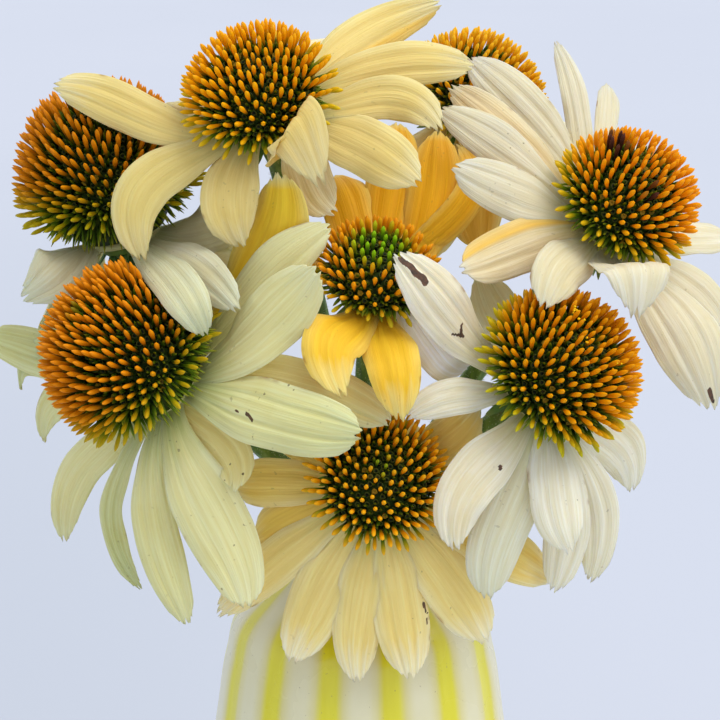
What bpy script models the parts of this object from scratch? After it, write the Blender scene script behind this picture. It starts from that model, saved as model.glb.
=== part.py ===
"""Cut coneflowers standing in a striped vase, life size, in metres, +Z up.

The origin is the middle of the vase's flat base. The blooms are placed as a viewer in front of the vase sees
them: across to the viewer's right, up in the picture, and near, towards the viewer, all in millimetres.
"""

import math
from dataclasses import dataclass

import bmesh
import bpy
import numpy as np
from mathutils import Matrix, Vector

MM = 0.001
GAP = 0.3  # left between two pieces that touch

# The viewer looks down by this much at the middle of the bouquet
LOOK_DOWN = math.radians(12)
MIDDLE = np.array([0.0, -30.9, 192.0])
ACROSS = np.array([1.0, 0.0, 0.0])
UP = np.array([0.0, math.sin(LOOK_DOWN), math.cos(LOOK_DOWN)])
NEAR = np.array([0.0, -math.cos(LOOK_DOWN), math.sin(LOOK_DOWN)])

# Vase: outer radius at each height, from the foot to the rim
VASE_OUTLINE = [
    (22.5, 0), (25, 2), (31.5, 22), (35, 44), (36, 66), (34.6, 88), (32.4, 105), (30.2, 119), (27.4, 128), (21.5, 134), (17, 138.5), (18.6, 146)
]
VASE_WALL = 3.4
VASE_FLOOR = 6.0
VASE_SIDES = 24
RIM_ROUNDING = 0.8
WATER_LEVEL = 100.0

# Stems: thickness, and the ring in which they pass the vase's neck and stand on its floor
STEM_RADIUS = 2.3
STEM_SIDES_RESOLUTION = 1
STEM_POINTS = 11
NECK_HEIGHT = 139.0
NECK_RING = 9.6
FLOOR_RING = 15.0
FLOOR_TURN = math.radians(40)

# Heads, as shares of the bloom's radius out to its spine tips
HUB_SHARE = 0.40
HUB_THICKNESS = 1.7
CORE_SHARE = 0.8
SPINE_SHARE = 0.25
WAIST_SHARE = 0.30  # height of the cone's widest level, as a share of the cone's height
SPINE_LEAN = 0.55
LOWEST_SPINE = math.radians(104)
SPINE_CLEARANCE = 2.4
GOLDEN_TURN = math.pi * (3 - math.sqrt(5))

# Petals
RAY_THICKNESS = 0.7
RAY_ROWS = 4
RAY_COLUMNS = 2
ROOT_SHARE = 0.42  # width at the root, as a share of the petal's width
RULED_HANG = 0.3  # how much the end of a petal turns back towards the stem where the rule shapes it
BRACT_COUNT = 6
BRACT_LENGTH = 6.5
BRACT_WIDTH = 3.0


@dataclass
class Ray:
    """A petal: its tip, and the point halfway along it where that isn't left to the rule, both from the hub."""

    tip: tuple
    middle: tuple
    width: float
    lift: float = 0.0  # degrees above the hub's plane at the root
    reach: float = 0.4  # how long it keeps that way, as a share of the distance from root to tip
    veer: float = 0.0  # degrees that the root is turned round the hub from the tip's side
    twist: float = 0.0  # degrees from root to tip
    curl: float = 25.0  # degrees by which its edges turn down


@dataclass
class Bloom:
    """One flower head and its stem."""

    name: str
    hub: tuple
    facing: tuple
    radius: float
    height: float
    spines: int
    seat: int  # place in the neck's ring, or -1 for its middle
    rays: list


BLOOMS = [
    Bloom("a", (-19.9, 51.2, 0.0), (-0.16, 0.62, 0.77), 16.6, 20.0, 54, 4, [
        Ray((-44.5, 6.1, 2.0), (-25.8, 0.1, 1.0), 10.1, veer=28, twist=-37),
        Ray((-24.9, -30.9, 7.0), (-25.1, -15.8, 8.0), 10.9, lift=2, veer=-10, twist=-35),
        Ray((-4.4, -28.0, 7.0), (-7.2, -16.7, 9.0), 12.2, veer=-14, twist=-17),
        Ray((12.2, -16.3, 18.0), (5.3, -4.1, 19.0), 15.1, lift=-14, reach=0.85, veer=-6, twist=35, curl=12),
        Ray((14.9, -20.5, 3.0), (8.6, -11.0, 2.0), 10.5, lift=-10, veer=12, twist=19),
        Ray((32.4, -14.8, 10.0), (21.2, -6.9, 8.0), 13.0, veer=8, twist=28),
        Ray((36.8, -3.5, 5.0), (27.5, 3.7, 3.0), 9.7, lift=6, twist=39),
        Ray((44.1, 10.8, -5.0), (31.3, 11.6, -3.0), 9.7, lift=12, veer=12, twist=38),
        Ray((37.4, 25.6, -16.0), (21.7, 18.5, -12.0), 10.5, lift=12, twist=38),
        Ray((14.7, 18.9, -24.0), None, 9.2),
        Ray((-24.5, 3.6, -11.0), (-15.3, -0.0, -8.0), 8.8, twist=-41),
    ]),
    Bloom("b", (-51.0, 27.1, -22.0), (-0.25, 0.91, 0.33), 20.4, 35.0, 68, 5, [
        Ray((26.2, -17.1, 38.0), (17.1, -8.1, 31.0), 10.1, lift=-6, twist=35),
        Ray((19.7, -22.3, 42.0), (14.2, -12.5, 42.0), 9.7, lift=-4, twist=19, curl=16),
        Ray((-22.1, -14.2, 6.0), (-10.7, -5.1, 9.0), 13.0, lift=6, twist=-46),
        Ray((-10.0, -20.6, 2.0), None, 10.1, lift=-26),
        Ray((-20.2, -23.8, -26.0), None, 10.1, lift=-24),
        Ray((-10.0, -23.7, -28.0), None, 10.1, lift=-20),
        Ray((5.9, -22.0, -44.0), None, 10.1, lift=-50),
        Ray((21.4, -19.3, -22.0), None, 10.1, lift=-28),
        Ray((26.6, -6.2, 10.0), (16.9, -3.7, 12.0), 10.9, lift=-20, twist=50),
        Ray((29.3, 5.7, 12.0), (18.2, 2.7, 12.0), 13.9, lift=-12, twist=60),
    ]),
    Bloom("c", (-39.0, -4.6, -2.0), (-0.69, 0.52, 0.5), 20.4, 31.0, 68, 6, [
        Ray((-44.4, 10.2, -36.0), None, 11.3, lift=2),
        Ray((-36.4, -2.0, -34.0), (-30.7, 5.9, -26.0), 10.5, lift=-8, twist=-15),
        Ray((-30.9, -13.7, -32.0), (-27.2, -3.7, -26.0), 9.7, lift=-10, twist=-29),
        Ray((-25.3, -35.0, -22.0), (-22.9, -20.9, -18.0), 9.7, lift=-8, twist=-55),
        Ray((-8.0, -44.7, -12.0), (-14.4, -27.8, -9.0), 6.3, lift=-6, twist=-45),
        Ray((2.8, -51.1, 1.0), (-4.1, -31.1, 2.0), 9.7, lift=-4, twist=-52),
        Ray((15.3, -47.0, 8.0), (7.8, -27.6, 8.0), 14.7, lift=-4, veer=8, twist=-33),
        Ray((12.5, -22.7, 11.0), (10.1, -13.4, 9.0), 10.9, lift=-10, twist=-14),
        Ray((39.2, -10.3, 28.0), (23.5, -7.2, 21.0), 14.7, lift=4, veer=-10, twist=14),
        Ray((45.1, -8.3, 16.0), (26.6, -0.1, 13.0), 10.9, lift=4, twist=26),
        Ray((30.4, 23.3, 24.0), (21.8, 14.0, 19.0), 13.9, lift=8, veer=-22, twist=53),
        Ray((33.0, 32.6, 10.0), (22.4, 25.0, 10.0), 10.5, lift=10, twist=51),
        Ray((22.2, 43.6, 10.0), (20.6, 29.7, 6.0), 14.7, lift=8, twist=54),
    ]),
    Bloom("d", (2.9, 14.1, 0.0), (0.08, 0.7, 0.71), 13.9, 15.5, 43, -1, [
        Ray((-6.0, -22.0, 19.0), (-7.4, -8.7, 16.0), 13.0, lift=10, twist=-23),
        Ray((5.4, -26.9, 18.0), (3.6, -13.3, 17.0), 11.8, twist=12),
        Ray((20.3, -15.5, -3.0), (13.7, -11.2, 7.0), 11.8, lift=-4, twist=28),
        Ray((-9.0, 25.9, -18.0), (-5.1, 16.8, -8.0), 11.3, lift=5, twist=-14),
        Ray((5.3, 37.6, -22.0), (3.5, 22.2, -10.0), 11.3, lift=6),
        Ray((13.8, 35.3, -14.0), (12.4, 19.9, -8.0), 11.8, lift=6, veer=-25, twist=15),
        Ray((18.1, 32.8, -16.0), (17.2, 16.7, -6.0), 7.1, lift=2, twist=23),
        Ray((-22.4, 4.3, -18.0), None, 9.7, lift=-8),
    ]),
    Bloom("e", (22.7, 54.0, -38.0), (0.45, 0.68, 0.58), 16.0, 20.0, 48, 3, [
        Ray((-20.5, -22.0, 4.0), None, 10.5, lift=-12),
        Ray((-24.4, 3.6, 2.0), None, 10.5, lift=-10),
        Ray((-18.1, 15.9, -22.0), None, 10.5, lift=-8),
        Ray((-0.5, 14.8, -34.0), None, 10.5, lift=-8),
        Ray((15.7, 8.8, -32.0), None, 10.5, lift=-8),
        Ray((26.0, -2.0, -12.0), None, 11.8, lift=-4),
        Ray((4.4, -29.6, 2.0), (3.4, -16.4, 4.0), 13.0, lift=-12, twist=35),
        Ray((-8.4, -32.2, 0.0), None, 10.5, lift=-14),
        Ray((14.6, -20.3, 2.0), (8.3, -9.8, 4.0), 11.8, lift=-14, twist=47),
    ]),
    Bloom("f", (51.4, 28.1, -8.0), (0.52, 0.61, 0.6), 16.3, 23.5, 54, 2, [
        Ray((-27.7, 37.7, -16.0), (-18.0, 28.1, -6.0), 10.5, lift=8, veer=-16, twist=-45),
        Ray((-35.0, 25.2, 4.0), (-23.6, 18.3, 6.0), 9.7, lift=6, twist=-48),
        Ray((-32.1, 12.3, 14.0), (-20.9, 7.5, 11.0), 11.3, lift=8, veer=10, twist=-46),
        Ray((-30.6, -9.5, 20.0), (-17.7, -4.3, 13.0), 11.8, lift=8, twist=-22),
        Ray((-13.9, -17.6, 26.0), (-9.9, -9.1, 21.0), 11.8, lift=-2, twist=-4),
        Ray((5.1, -19.9, 24.0), (4.8, -8.4, 22.5), 15.1, lift=-8, reach=0.6, twist=30, curl=12),
        Ray((22.5, -38.7, 10.0), (14.9, -20.5, 12.0), 15.1, lift=2, twist=46),
        Ray((26.4, -22.7, -4.0), None, 13.4, twist=41),
        Ray((30.5, -1.2, -24.0), None, 10.5, lift=-6),
        Ray((13.4, 18.9, -34.0), None, 9.7, lift=-4),
        Ray((3.5, 33.3, -28.0), None, 6.7, lift=4),
        Ray((-32.4, 30.7, -6.0), (-21.6, 21.8, -2.0), 9.7, lift=4, twist=-49),
        Ray((-8.7, 42.0, -20.0), (-4.6, 27.9, -13.0), 5.9, lift=10, twist=-37),
    ]),
    Bloom("g", (36.3, -6.5, 0.0), (0.53, 0.47, 0.71), 18.0, 25.5, 60, 1, [
        Ray((-29.2, 28.3, 20.0), (-20.4, 18.8, 17.0), 11.8, lift=5, twist=-46),
        Ray((-27.0, -5.7, 10.0), (-17.3, -1.1, 10.0), 8.0, lift=-4, twist=-19),
        Ray((-16.5, -32.9, 11.0), (-12.8, -17.8, 12.0), 11.8, lift=-6, twist=9),
        Ray((-9.5, -43.7, 2.0), (-5.5, -25.1, 6.0), 12.6, lift=-8, twist=26),
        Ray((7.6, -33.7, 8.0), (4.1, -20.0, 8.0), 11.3, lift=2, twist=33),
        Ray((4.7, -43.0, -8.0), (7.6, -28.3, -3.0), 10.1, lift=-8, twist=43),
        Ray((13.0, -41.3, -14.0), (14.2, -24.9, -7.0), 9.7, lift=-8, twist=47),
        Ray((22.4, -22.0, -18.0), (18.9, -11.6, -10.0), 11.8, lift=-10, twist=41),
        Ray((22.0, -0.2, -24.0), None, 9.7, lift=-16),
        Ray((17.6, 9.8, -28.0), None, 9.7, lift=-16),
        Ray((-10.9, 25.9, -16.0), (-5.7, 14.6, -12.0), 10.9, lift=-8, twist=-41),
    ]),
    Bloom("h", (3.4, -27.0, -4.0), (0.08, 0.33, 0.94), 15.6, 17.0, 54, 0, [
        Ray((-31.1, 0.6, -6.0), None, 10.9, lift=-8, twist=-12),
        Ray((-26.1, -12.5, -8.0), None, 12.2, lift=-8, twist=-11),
        Ray((-33.8, -27.4, -4.0), (-21.2, -15.8, -2.0), 10.1, lift=-4, twist=-10),
        Ray((-18.0, -37.4, -4.0), (-11.6, -22.5, -1.0), 13.4, lift=-6),
        Ray((-4.0, -41.6, -4.0), (-3.4, -24.5, 0.0), 11.3, lift=-6),
        Ray((7.4, -40.6, -2.0), (4.9, -24.5, 0.0), 12.6, lift=-4, twist=8),
        Ray((23.4, -33.2, -3.0), (15.0, -19.4, 0.0), 13.0, lift=-6, twist=13),
        Ray((37.9, -20.0, -8.0), None, 11.3, lift=-8),
        Ray((21.9, 17.4, 2.0), (13.5, 8.9, 1.0), 10.5, lift=-6, twist=12),
        Ray((7.8, 14.6, -10.0), None, 9.2, lift=-16),
        Ray((-7.7, 14.1, -12.0), None, 9.2, lift=-16),
        Ray((-21.5, 12.4, -12.0), None, 9.7, lift=-12),
    ]),
]


def unit(v):
    """The vector at length 1."""
    v = np.asarray(v, float)
    return v / np.linalg.norm(v)


def direction(across, up, near):
    """A direction given as the viewer sees it, in world axes."""
    return across * ACROSS + up * UP + near * NEAR


def place(across, up, near):
    """A point given as the viewer sees it, in world axes and mm."""
    return MIDDLE + direction(across, up, near)


def turned(v, axis, angle):
    """v turned about the axis by the angle in radians."""
    axis = unit(axis)
    return v * math.cos(angle) + np.cross(axis, v) * math.sin(angle) + axis * (axis @ v) * (1 - math.cos(angle))


def bezier(points, t):
    """The point at t on the cubic through four handles."""
    a, b, c, d = points
    return a * (1 - t) ** 3 + 3 * b * t * (1 - t) ** 2 + 3 * c * t * t * (1 - t) + d * t**3


def bezier_slope(points, t):
    """The unit tangent at t of the same cubic."""
    a, b, c, d = points
    return unit((b - a) * (1 - t) ** 2 + 2 * (c - b) * t * (1 - t) + (d - c) * t * t)


def ray_handles(bloom, ray):
    """The four handles of a petal's midline, in mm, and the side that its root faces."""
    hub = place(*bloom.hub)
    axis = unit(direction(*bloom.facing))
    tip = hub + direction(*ray.tip)
    out = tip - hub
    out = unit(out - axis * (out @ axis))
    out = turned(out, axis, math.radians(ray.veer))
    root = hub + out * bloom.radius * HUB_SHARE * 0.72
    chord = np.linalg.norm(tip - root)
    lift = math.radians(ray.lift)
    start = out * math.cos(lift) + axis * math.sin(lift)
    first = root + start * chord * ray.reach
    if ray.middle:
        middle = hub + direction(*ray.middle)
        before = np.linalg.norm(middle - root)
        t = min(0.66, max(0.34, before / (before + np.linalg.norm(tip - middle))))
        known = root * (1 - t) ** 3 + 3 * first * t * (1 - t) ** 2 + tip * t**3
        second = (middle - known) / (3 * t * t * (1 - t))
    else:
        second = tip - unit(unit(tip - first) - axis * RULED_HANG) * chord * 0.3
    return (root, first, second, tip), unit(np.cross(axis, start))


def half_width(t):
    """Half the width along a petal, as a share of its greatest width."""
    grown = min(1.0, t / 0.48)
    shoulder = ROOT_SHARE + (1 - ROOT_SHARE) * grown * grown * (3 - 2 * grown)
    taper = max(0.0, (t - 0.62) / 0.38)
    return 0.5 * shoulder * (1 - 0.62 * taper**2.2)


def ray_point_rows(bloom, ray, rows, columns):
    """Rows of points over a petal's face, from root to tip, with the notched end that coneflower petals have."""
    handles, side = ray_handles(bloom, ray)
    slope = bezier_slope(handles, 0.0)
    made = []
    for i in range(rows + 1):
        t = i / rows
        new_slope = bezier_slope(handles, t)
        bend = np.cross(slope, new_slope)
        angle = math.atan2(np.linalg.norm(bend), slope @ new_slope)
        if angle > 1e-9:
            side = turned(side, bend, angle)
        slope = new_slope
        across = turned(side, slope, math.radians(ray.twist) * min(1.0, t / 0.6))
        face = np.cross(slope, across)
        centre = bezier(handles, t)
        half = half_width(t) * ray.width
        spread = math.radians(ray.curl) * min(1.0, t / 0.3) + 1e-6
        row = []
        for j in range(columns + 1):
            s = 2 * j / columns - 1
            over = math.sin(spread * s) / spread * half
            down = (1 - math.cos(spread * s)) / spread * half
            row.append(centre + across * over - face * down)
        if i == rows:
            row[columns // 2] = row[columns // 2] - slope * 1.1
        made.append(row)
    return made


def linked(mesh, name, collection):
    """A new object with this mesh in the collection."""
    made = bpy.data.objects.new(name, mesh)
    collection.objects.link(made)
    return made


def mesh_from(shape, name):
    """A mesh from a bmesh, which is freed."""
    mesh = bpy.data.meshes.new(name)
    shape.to_mesh(mesh)
    shape.free()
    return mesh


def applied(made):
    """The object with its modifiers applied to its mesh."""
    graph = bpy.context.evaluated_depsgraph_get()
    mesh = bpy.data.meshes.new_from_object(made.evaluated_get(graph))
    made.modifiers.clear()
    made.data = mesh
    return made


def without_scraps(made):
    """The object with only its largest connected body, so that no loose scrap or sealed hollow stays."""
    shape = bmesh.new()
    shape.from_mesh(made.data)
    left = set(shape.verts)
    bodies = []
    while left:
        body = {left.pop()}
        edge = list(body)
        while edge:
            for link in edge.pop().link_edges:
                for vert in link.verts:
                    if vert in left:
                        left.discard(vert)
                        body.add(vert)
                        edge.append(vert)
        bodies.append(body)
    largest = max(bodies, key=len)
    bmesh.ops.delete(shape, geom=[vert for vert in shape.verts if vert not in largest], context="VERTS")
    shape.to_mesh(made.data)
    shape.free()
    return made


def joined(base, pieces, solver="EXACT"):
    """The base with every piece of the list fused into it, and the pieces removed."""
    group = bpy.data.collections.new("joining")
    bpy.context.scene.collection.children.link(group)
    for piece in pieces:
        for owner in list(piece.users_collection):
            owner.objects.unlink(piece)
        group.objects.link(piece)
    union = base.modifiers.new("union", "BOOLEAN")
    union.operation = "UNION"
    union.solver = solver
    union.operand_type = "COLLECTION"
    union.collection = group
    bpy.context.view_layer.update()
    applied(base)
    for piece in pieces:
        bpy.data.objects.remove(piece)
    bpy.data.collections.remove(group)
    return without_scraps(base)


def lathe(name, profile, steps, matrix, collection):
    """A closed turned solid about the local Z axis, from (radius, height) points in mm that start and end on it."""
    shape = bmesh.new()
    points = [shape.verts.new((radius * MM, 0.0, height * MM)) for radius, height in profile]
    for low, high in zip(points, points[1:]):
        shape.edges.new((low, high))
    made = linked(mesh_from(shape, name), name, collection)
    screw = made.modifiers.new("turn", "SCREW")
    screw.steps = steps
    screw.render_steps = steps
    screw.use_merge_vertices = True
    screw.merge_threshold = 1e-6
    made.matrix_world = matrix
    bpy.context.view_layer.update()
    applied(made)
    shape = bmesh.new()
    shape.from_mesh(made.data)
    bmesh.ops.remove_doubles(shape, verts=shape.verts, dist=1e-6)
    bmesh.ops.recalc_face_normals(shape, faces=shape.faces)
    shape.to_mesh(made.data)
    shape.free()
    return made


def frame_matrix(origin, axis):
    """The matrix that puts local Z on the axis at the origin, which is in mm."""
    turn = Vector(axis).to_track_quat("Z", "Y").to_matrix().to_4x4()
    return Matrix.Translation(Vector(origin) * MM) @ turn


def finish(made, colour, roughness):
    """Gives the piece its own material."""
    material = bpy.data.materials.new(made.name)
    material.use_nodes = True
    shader = material.node_tree.nodes["Principled BSDF"]
    shader.inputs["Base Color"].default_value = (*colour, 1)
    shader.inputs["Roughness"].default_value = roughness
    shader.inputs["Metallic"].default_value = 0.0
    made.data.materials.clear()
    made.data.materials.append(material)
    return made


def spine_seats(bloom):
    """Where each spine of the cone stands, and which way it points, in the bloom's own axes and mm."""
    core = bloom.radius * CORE_SHARE
    waist = bloom.height * WAIST_SHARE
    crown = bloom.height - bloom.radius * SPINE_SHARE * 0.7 - waist
    seats = []
    for i in range(bloom.spines):
        share = (i + 0.5) / bloom.spines
        polar = math.acos(1 - share * (1 - math.cos(LOWEST_SPINE)))
        turn = i * GOLDEN_TURN
        level = crown if polar < math.pi / 2 else waist
        flat = math.sin(polar)
        seat = np.array([flat * math.cos(turn) * core, flat * math.sin(turn) * core, waist + math.cos(polar) * level])
        normal = unit([flat * math.cos(turn) / core, flat * math.sin(turn) / core, math.cos(polar) / level])
        lean = SPINE_LEAN * min(1.0, (LOWEST_SPINE - polar) / math.radians(50))
        seats.append((seat, unit(normal + np.array([0, 0, lean])), polar))
    return seats


def petal_cloud():
    """Points close together over every petal of the bouquet, in metres."""
    made = []
    for bloom in BLOOMS:
        for ray in bloom.rays:
            made += [point for row in ray_point_rows(bloom, ray, 24, 8) for point in row]
    return np.array(made) * MM


def stands_clear(start, end, cloud):
    """Whether a spine between these two points, in metres, keeps off every petal."""
    for share in (0.0, 0.33, 0.67, 1.0):
        point = start + (end - start) * share
        if np.min(np.sum((cloud - point) ** 2, axis=1)) < (SPINE_CLEARANCE * MM) ** 2:
            return False
    return True


def make_cone(bloom, cloud, collection):
    """The seed head: a dome with stiff spines fused to it in a golden-angle spiral, except where a petal lies."""
    core = bloom.radius * CORE_SHARE
    waist = bloom.height * WAIST_SHARE
    crown = bloom.height - bloom.radius * SPINE_SHARE * 0.7 - waist
    bottom = HUB_THICKNESS / 2 + GAP
    foot = bloom.radius * (HUB_SHARE + 0.06)
    profile = [(0, bottom), (foot, bottom), (core * 0.92, waist * 0.62)]
    for step in range(7):
        polar = math.radians(15 * (6 - step))
        profile.append((core * math.sin(polar), waist + crown * math.cos(polar)))
    profile[-1] = (0, waist + crown)
    matrix = frame_matrix(place(*bloom.hub), direction(*bloom.facing))
    made = lathe(f"bloom_{bloom.name}_cone", profile, 12, matrix, collection)
    spines = []
    for seat, way, polar in spine_seats(bloom):
        young = min(1.0, 0.45 + polar / math.radians(60))
        length = bloom.radius * SPINE_SHARE * young
        width = bloom.radius * 0.078
        ends = [np.array(matrix @ Vector((seat + way * far) * MM)) for far in (0.0, length)]
        if not stands_clear(*ends, cloud):
            continue
        shape = bmesh.new()
        bmesh.ops.create_cone(
            shape, cap_ends=True, segments=3, radius1=width * MM, radius2=0, depth=(length + 1.6) * MM
        )
        spine = linked(mesh_from(shape, "spine"), "spine", collection)
        middle = seat + way * (length - 1.6) / 2
        spine.matrix_world = matrix @ frame_matrix(middle, way)
        spines.append(spine)
    return finish(joined(made, spines), (0.62, 0.24, 0.02), 0.5)


def make_ray(bloom, ray, collection):
    """One petal as a thin arched blade."""
    rows = ray_point_rows(bloom, ray, RAY_ROWS, RAY_COLUMNS)
    shape = bmesh.new()
    bmesh.ops.create_grid(shape, x_segments=RAY_COLUMNS, y_segments=RAY_ROWS, size=1)
    shape.verts.ensure_lookup_table()
    for index, point in enumerate(p for row in rows for p in row):
        shape.verts[index].co = Vector(point) * MM
    bmesh.ops.triangulate(shape, faces=shape.faces)
    made = linked(mesh_from(shape, "ray"), "ray", collection)
    thick = made.modifiers.new("thick", "SOLIDIFY")
    thick.thickness = RAY_THICKNESS * MM
    thick.offset = 0.0
    bpy.context.view_layer.update()
    return applied(made)


def make_rays(bloom, collection):
    """The ring of petals, fused to the thin hub that they grow from."""
    edge = bloom.radius * HUB_SHARE
    half = HUB_THICKNESS / 2
    matrix = frame_matrix(place(*bloom.hub), direction(*bloom.facing))
    hub = lathe(f"bloom_{bloom.name}_rays", [(0, -half), (edge, -half), (edge, half), (0, half)], 14, matrix, collection)
    rays = [make_ray(bloom, ray, collection) for ray in bloom.rays]
    return finish(joined(hub, rays), (0.85, 0.74, 0.42), 0.55)


def ring_place(seat, radius, height, turn):
    """A place in the ring of stems at this height, or in its middle for seat -1."""
    if seat < 0:
        return np.array([0.0, 0.0, height])
    angle = -math.pi / 2 + seat * 2 * math.pi / 7 + turn
    return np.array([radius * math.cos(angle), radius * math.sin(angle), height])


def stem_route(bloom):
    """The stem's midline, from the vase's floor up to the back of the head."""
    hub = place(*bloom.hub)
    axis = unit(direction(*bloom.facing))
    top = hub - axis * (HUB_THICKNESS / 2 + GAP + 5.0)
    foot = ring_place(bloom.seat, FLOOR_RING, VASE_FLOOR + GAP + 0.2, FLOOR_TURN)
    neck = ring_place(bloom.seat, NECK_RING, NECK_HEIGHT, 0.0)
    rise = unit(neck - foot)
    span = np.linalg.norm(top - neck)
    upper = (neck, neck + rise * span * 0.35, top - axis * span * 0.4, top)
    lower = [foot + (neck - foot) * share for share in (0.0, 0.35, 0.7)]
    count = STEM_POINTS - len(lower)
    return lower + [bezier(upper, i / (count - 1)) for i in range(count)]


def make_tube(name, points, radius, collection):
    """A round tube along the points, with capped ends, as a mesh."""
    curve = bpy.data.curves.new(name, "CURVE")
    curve.dimensions = "3D"
    curve.bevel_depth = radius * MM
    curve.bevel_resolution = STEM_SIDES_RESOLUTION
    curve.use_fill_caps = True
    spline = curve.splines.new("POLY")
    spline.points.add(len(points) - 1)
    for target, point in zip(spline.points, points):
        target.co = (*(point * MM), 1.0)
    tube = linked(curve, name, collection)
    bpy.context.view_layer.update()
    mesh = bpy.data.meshes.new_from_object(tube.evaluated_get(bpy.context.evaluated_depsgraph_get()))
    bpy.data.objects.remove(tube)
    shape = bmesh.new()
    shape.from_mesh(mesh)
    bmesh.ops.remove_doubles(shape, verts=shape.verts, dist=1e-6)
    shape.to_mesh(mesh)
    shape.free()
    return linked(mesh, name, collection)


def make_bract(bloom, turn, matrix, collection):
    """One small green leaf of the ruff under the head."""
    shape = bmesh.new()
    bmesh.ops.create_cone(
        shape, cap_ends=True, segments=4, radius1=BRACT_WIDTH / 2 * MM, radius2=0.3 * MM, depth=BRACT_LENGTH * MM
    )
    bmesh.ops.scale(shape, vec=(1.0, 0.5, 1.0), verts=shape.verts)
    made = linked(mesh_from(shape, "bract"), "bract", collection)
    out = np.array([math.cos(turn), math.sin(turn), 0.0])
    way = unit(out * 0.55 - np.array([0, 0, 1.0]))
    base = out * bloom.radius * HUB_SHARE * 0.6 - np.array([0, 0, HUB_THICKNESS / 2 + GAP + 2.0])
    made.matrix_world = matrix @ frame_matrix(base + way * BRACT_LENGTH * 0.4, way)
    return made


def make_stem(bloom, collection):
    """The stem with the receptacle that carries the head and its ruff of bracts."""
    route = stem_route(bloom)
    matrix = frame_matrix(place(*bloom.hub), direction(*bloom.facing))
    top = -(HUB_THICKNESS / 2 + GAP)
    edge = bloom.radius * HUB_SHARE * 0.7
    profile = [(0, top - 7.5), (STEM_RADIUS * 1.05, top - 7.5), (STEM_RADIUS * 1.4, top - 4.2), (edge, top - 1.6), (edge, top), (0, top)]
    receptacle = lathe(f"bloom_{bloom.name}_stem", profile, 10, matrix, collection)
    pieces = [make_tube("tube", route, STEM_RADIUS, collection)]
    for i in range(BRACT_COUNT):
        pieces.append(make_bract(bloom, i * 2 * math.pi / BRACT_COUNT, matrix, collection))
    return finish(joined(receptacle, pieces), (0.20, 0.36, 0.08), 0.6)


def inner_radius(height):
    """The vase's inside radius at a height."""
    heights = [h for _, h in VASE_OUTLINE]
    radii = [r for r, _ in VASE_OUTLINE]
    return float(np.interp(height, heights, radii)) - VASE_WALL


def make_vase(collection):
    """The hollow vase, open at the top."""
    outside = VASE_OUTLINE[1:]
    rim = [(VASE_OUTLINE[-1][0] - RIM_ROUNDING, VASE_OUTLINE[-1][1] + RIM_ROUNDING)]
    rim.append((VASE_OUTLINE[-1][0] - VASE_WALL + RIM_ROUNDING, VASE_OUTLINE[-1][1] + RIM_ROUNDING))
    levels = [146, 138.5, 134, 128, 119, 88, 44, 12]
    inside = [(inner_radius(level), level) for level in levels]
    profile = [(0, 0), VASE_OUTLINE[0], *outside, *rim, *inside, (inner_radius(12) - 4, VASE_FLOOR), (0, VASE_FLOOR)]
    made = lathe("vase", profile, VASE_SIDES, Matrix.Identity(4), collection)
    return finish(made, (0.66, 0.64, 0.50), 0.25)


def make_water(collection, cutters):
    """The water, with a plain hole for each stem."""
    side = GAP * 1.2
    levels = [WATER_LEVEL, 88, 44, 12]
    wall = [(inner_radius(level) - side - 0.4, level) for level in levels]
    bottom = VASE_FLOOR + GAP
    profile = [(0, WATER_LEVEL), *wall, (inner_radius(12) - 5.2, bottom), (0, bottom)]
    made = lathe("water", profile, VASE_SIDES, Matrix.Identity(4), collection)
    for bloom in BLOOMS:
        foot = ring_place(bloom.seat, FLOOR_RING, VASE_FLOOR, FLOOR_TURN)
        neck = ring_place(bloom.seat, NECK_RING, NECK_HEIGHT, 0.0)
        way = neck - foot
        shape = bmesh.new()
        bmesh.ops.create_cone(
            shape, cap_ends=True, segments=8, radius1=(STEM_RADIUS + 0.5) * MM, radius2=(STEM_RADIUS + 0.5) * MM, depth=150 * MM
        )
        hole = linked(mesh_from(shape, "hole"), "hole", cutters)
        hole.matrix_world = frame_matrix(foot + unit(way) * 60, unit(way))
        hole.hide_render = True
        hole.display_type = "WIRE"
        cut = made.modifiers.new("hole", "BOOLEAN")
        cut.operation = "DIFFERENCE"
        cut.solver = "EXACT"
        cut.object = hole
    bpy.context.view_layer.update()
    return finish(applied(made), (0.72, 0.80, 0.78), 0.05)


def clear_scene():
    """Removes everything that the scene starts with."""
    for old in list(bpy.data.objects):
        bpy.data.objects.remove(old)


def main():
    clear_scene()
    parts = bpy.data.collections.new("coneflowers_in_vase")
    cutters = bpy.data.collections.new("cutters")
    for made in (parts, cutters):
        bpy.context.scene.collection.children.link(made)
    make_vase(parts)
    make_water(parts, cutters)
    cloud = petal_cloud()
    for bloom in BLOOMS:
        make_cone(bloom, cloud, parts)
        make_rays(bloom, parts)
        make_stem(bloom, parts)


if __name__ == "__main__":
    main()
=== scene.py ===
"""Looks of the cut coneflowers in a striped vase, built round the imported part."""

import math
from dataclasses import dataclass

import bpy
import numpy as np
from mathutils import Matrix, Vector
from mathutils.kdtree import KDTree


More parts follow.
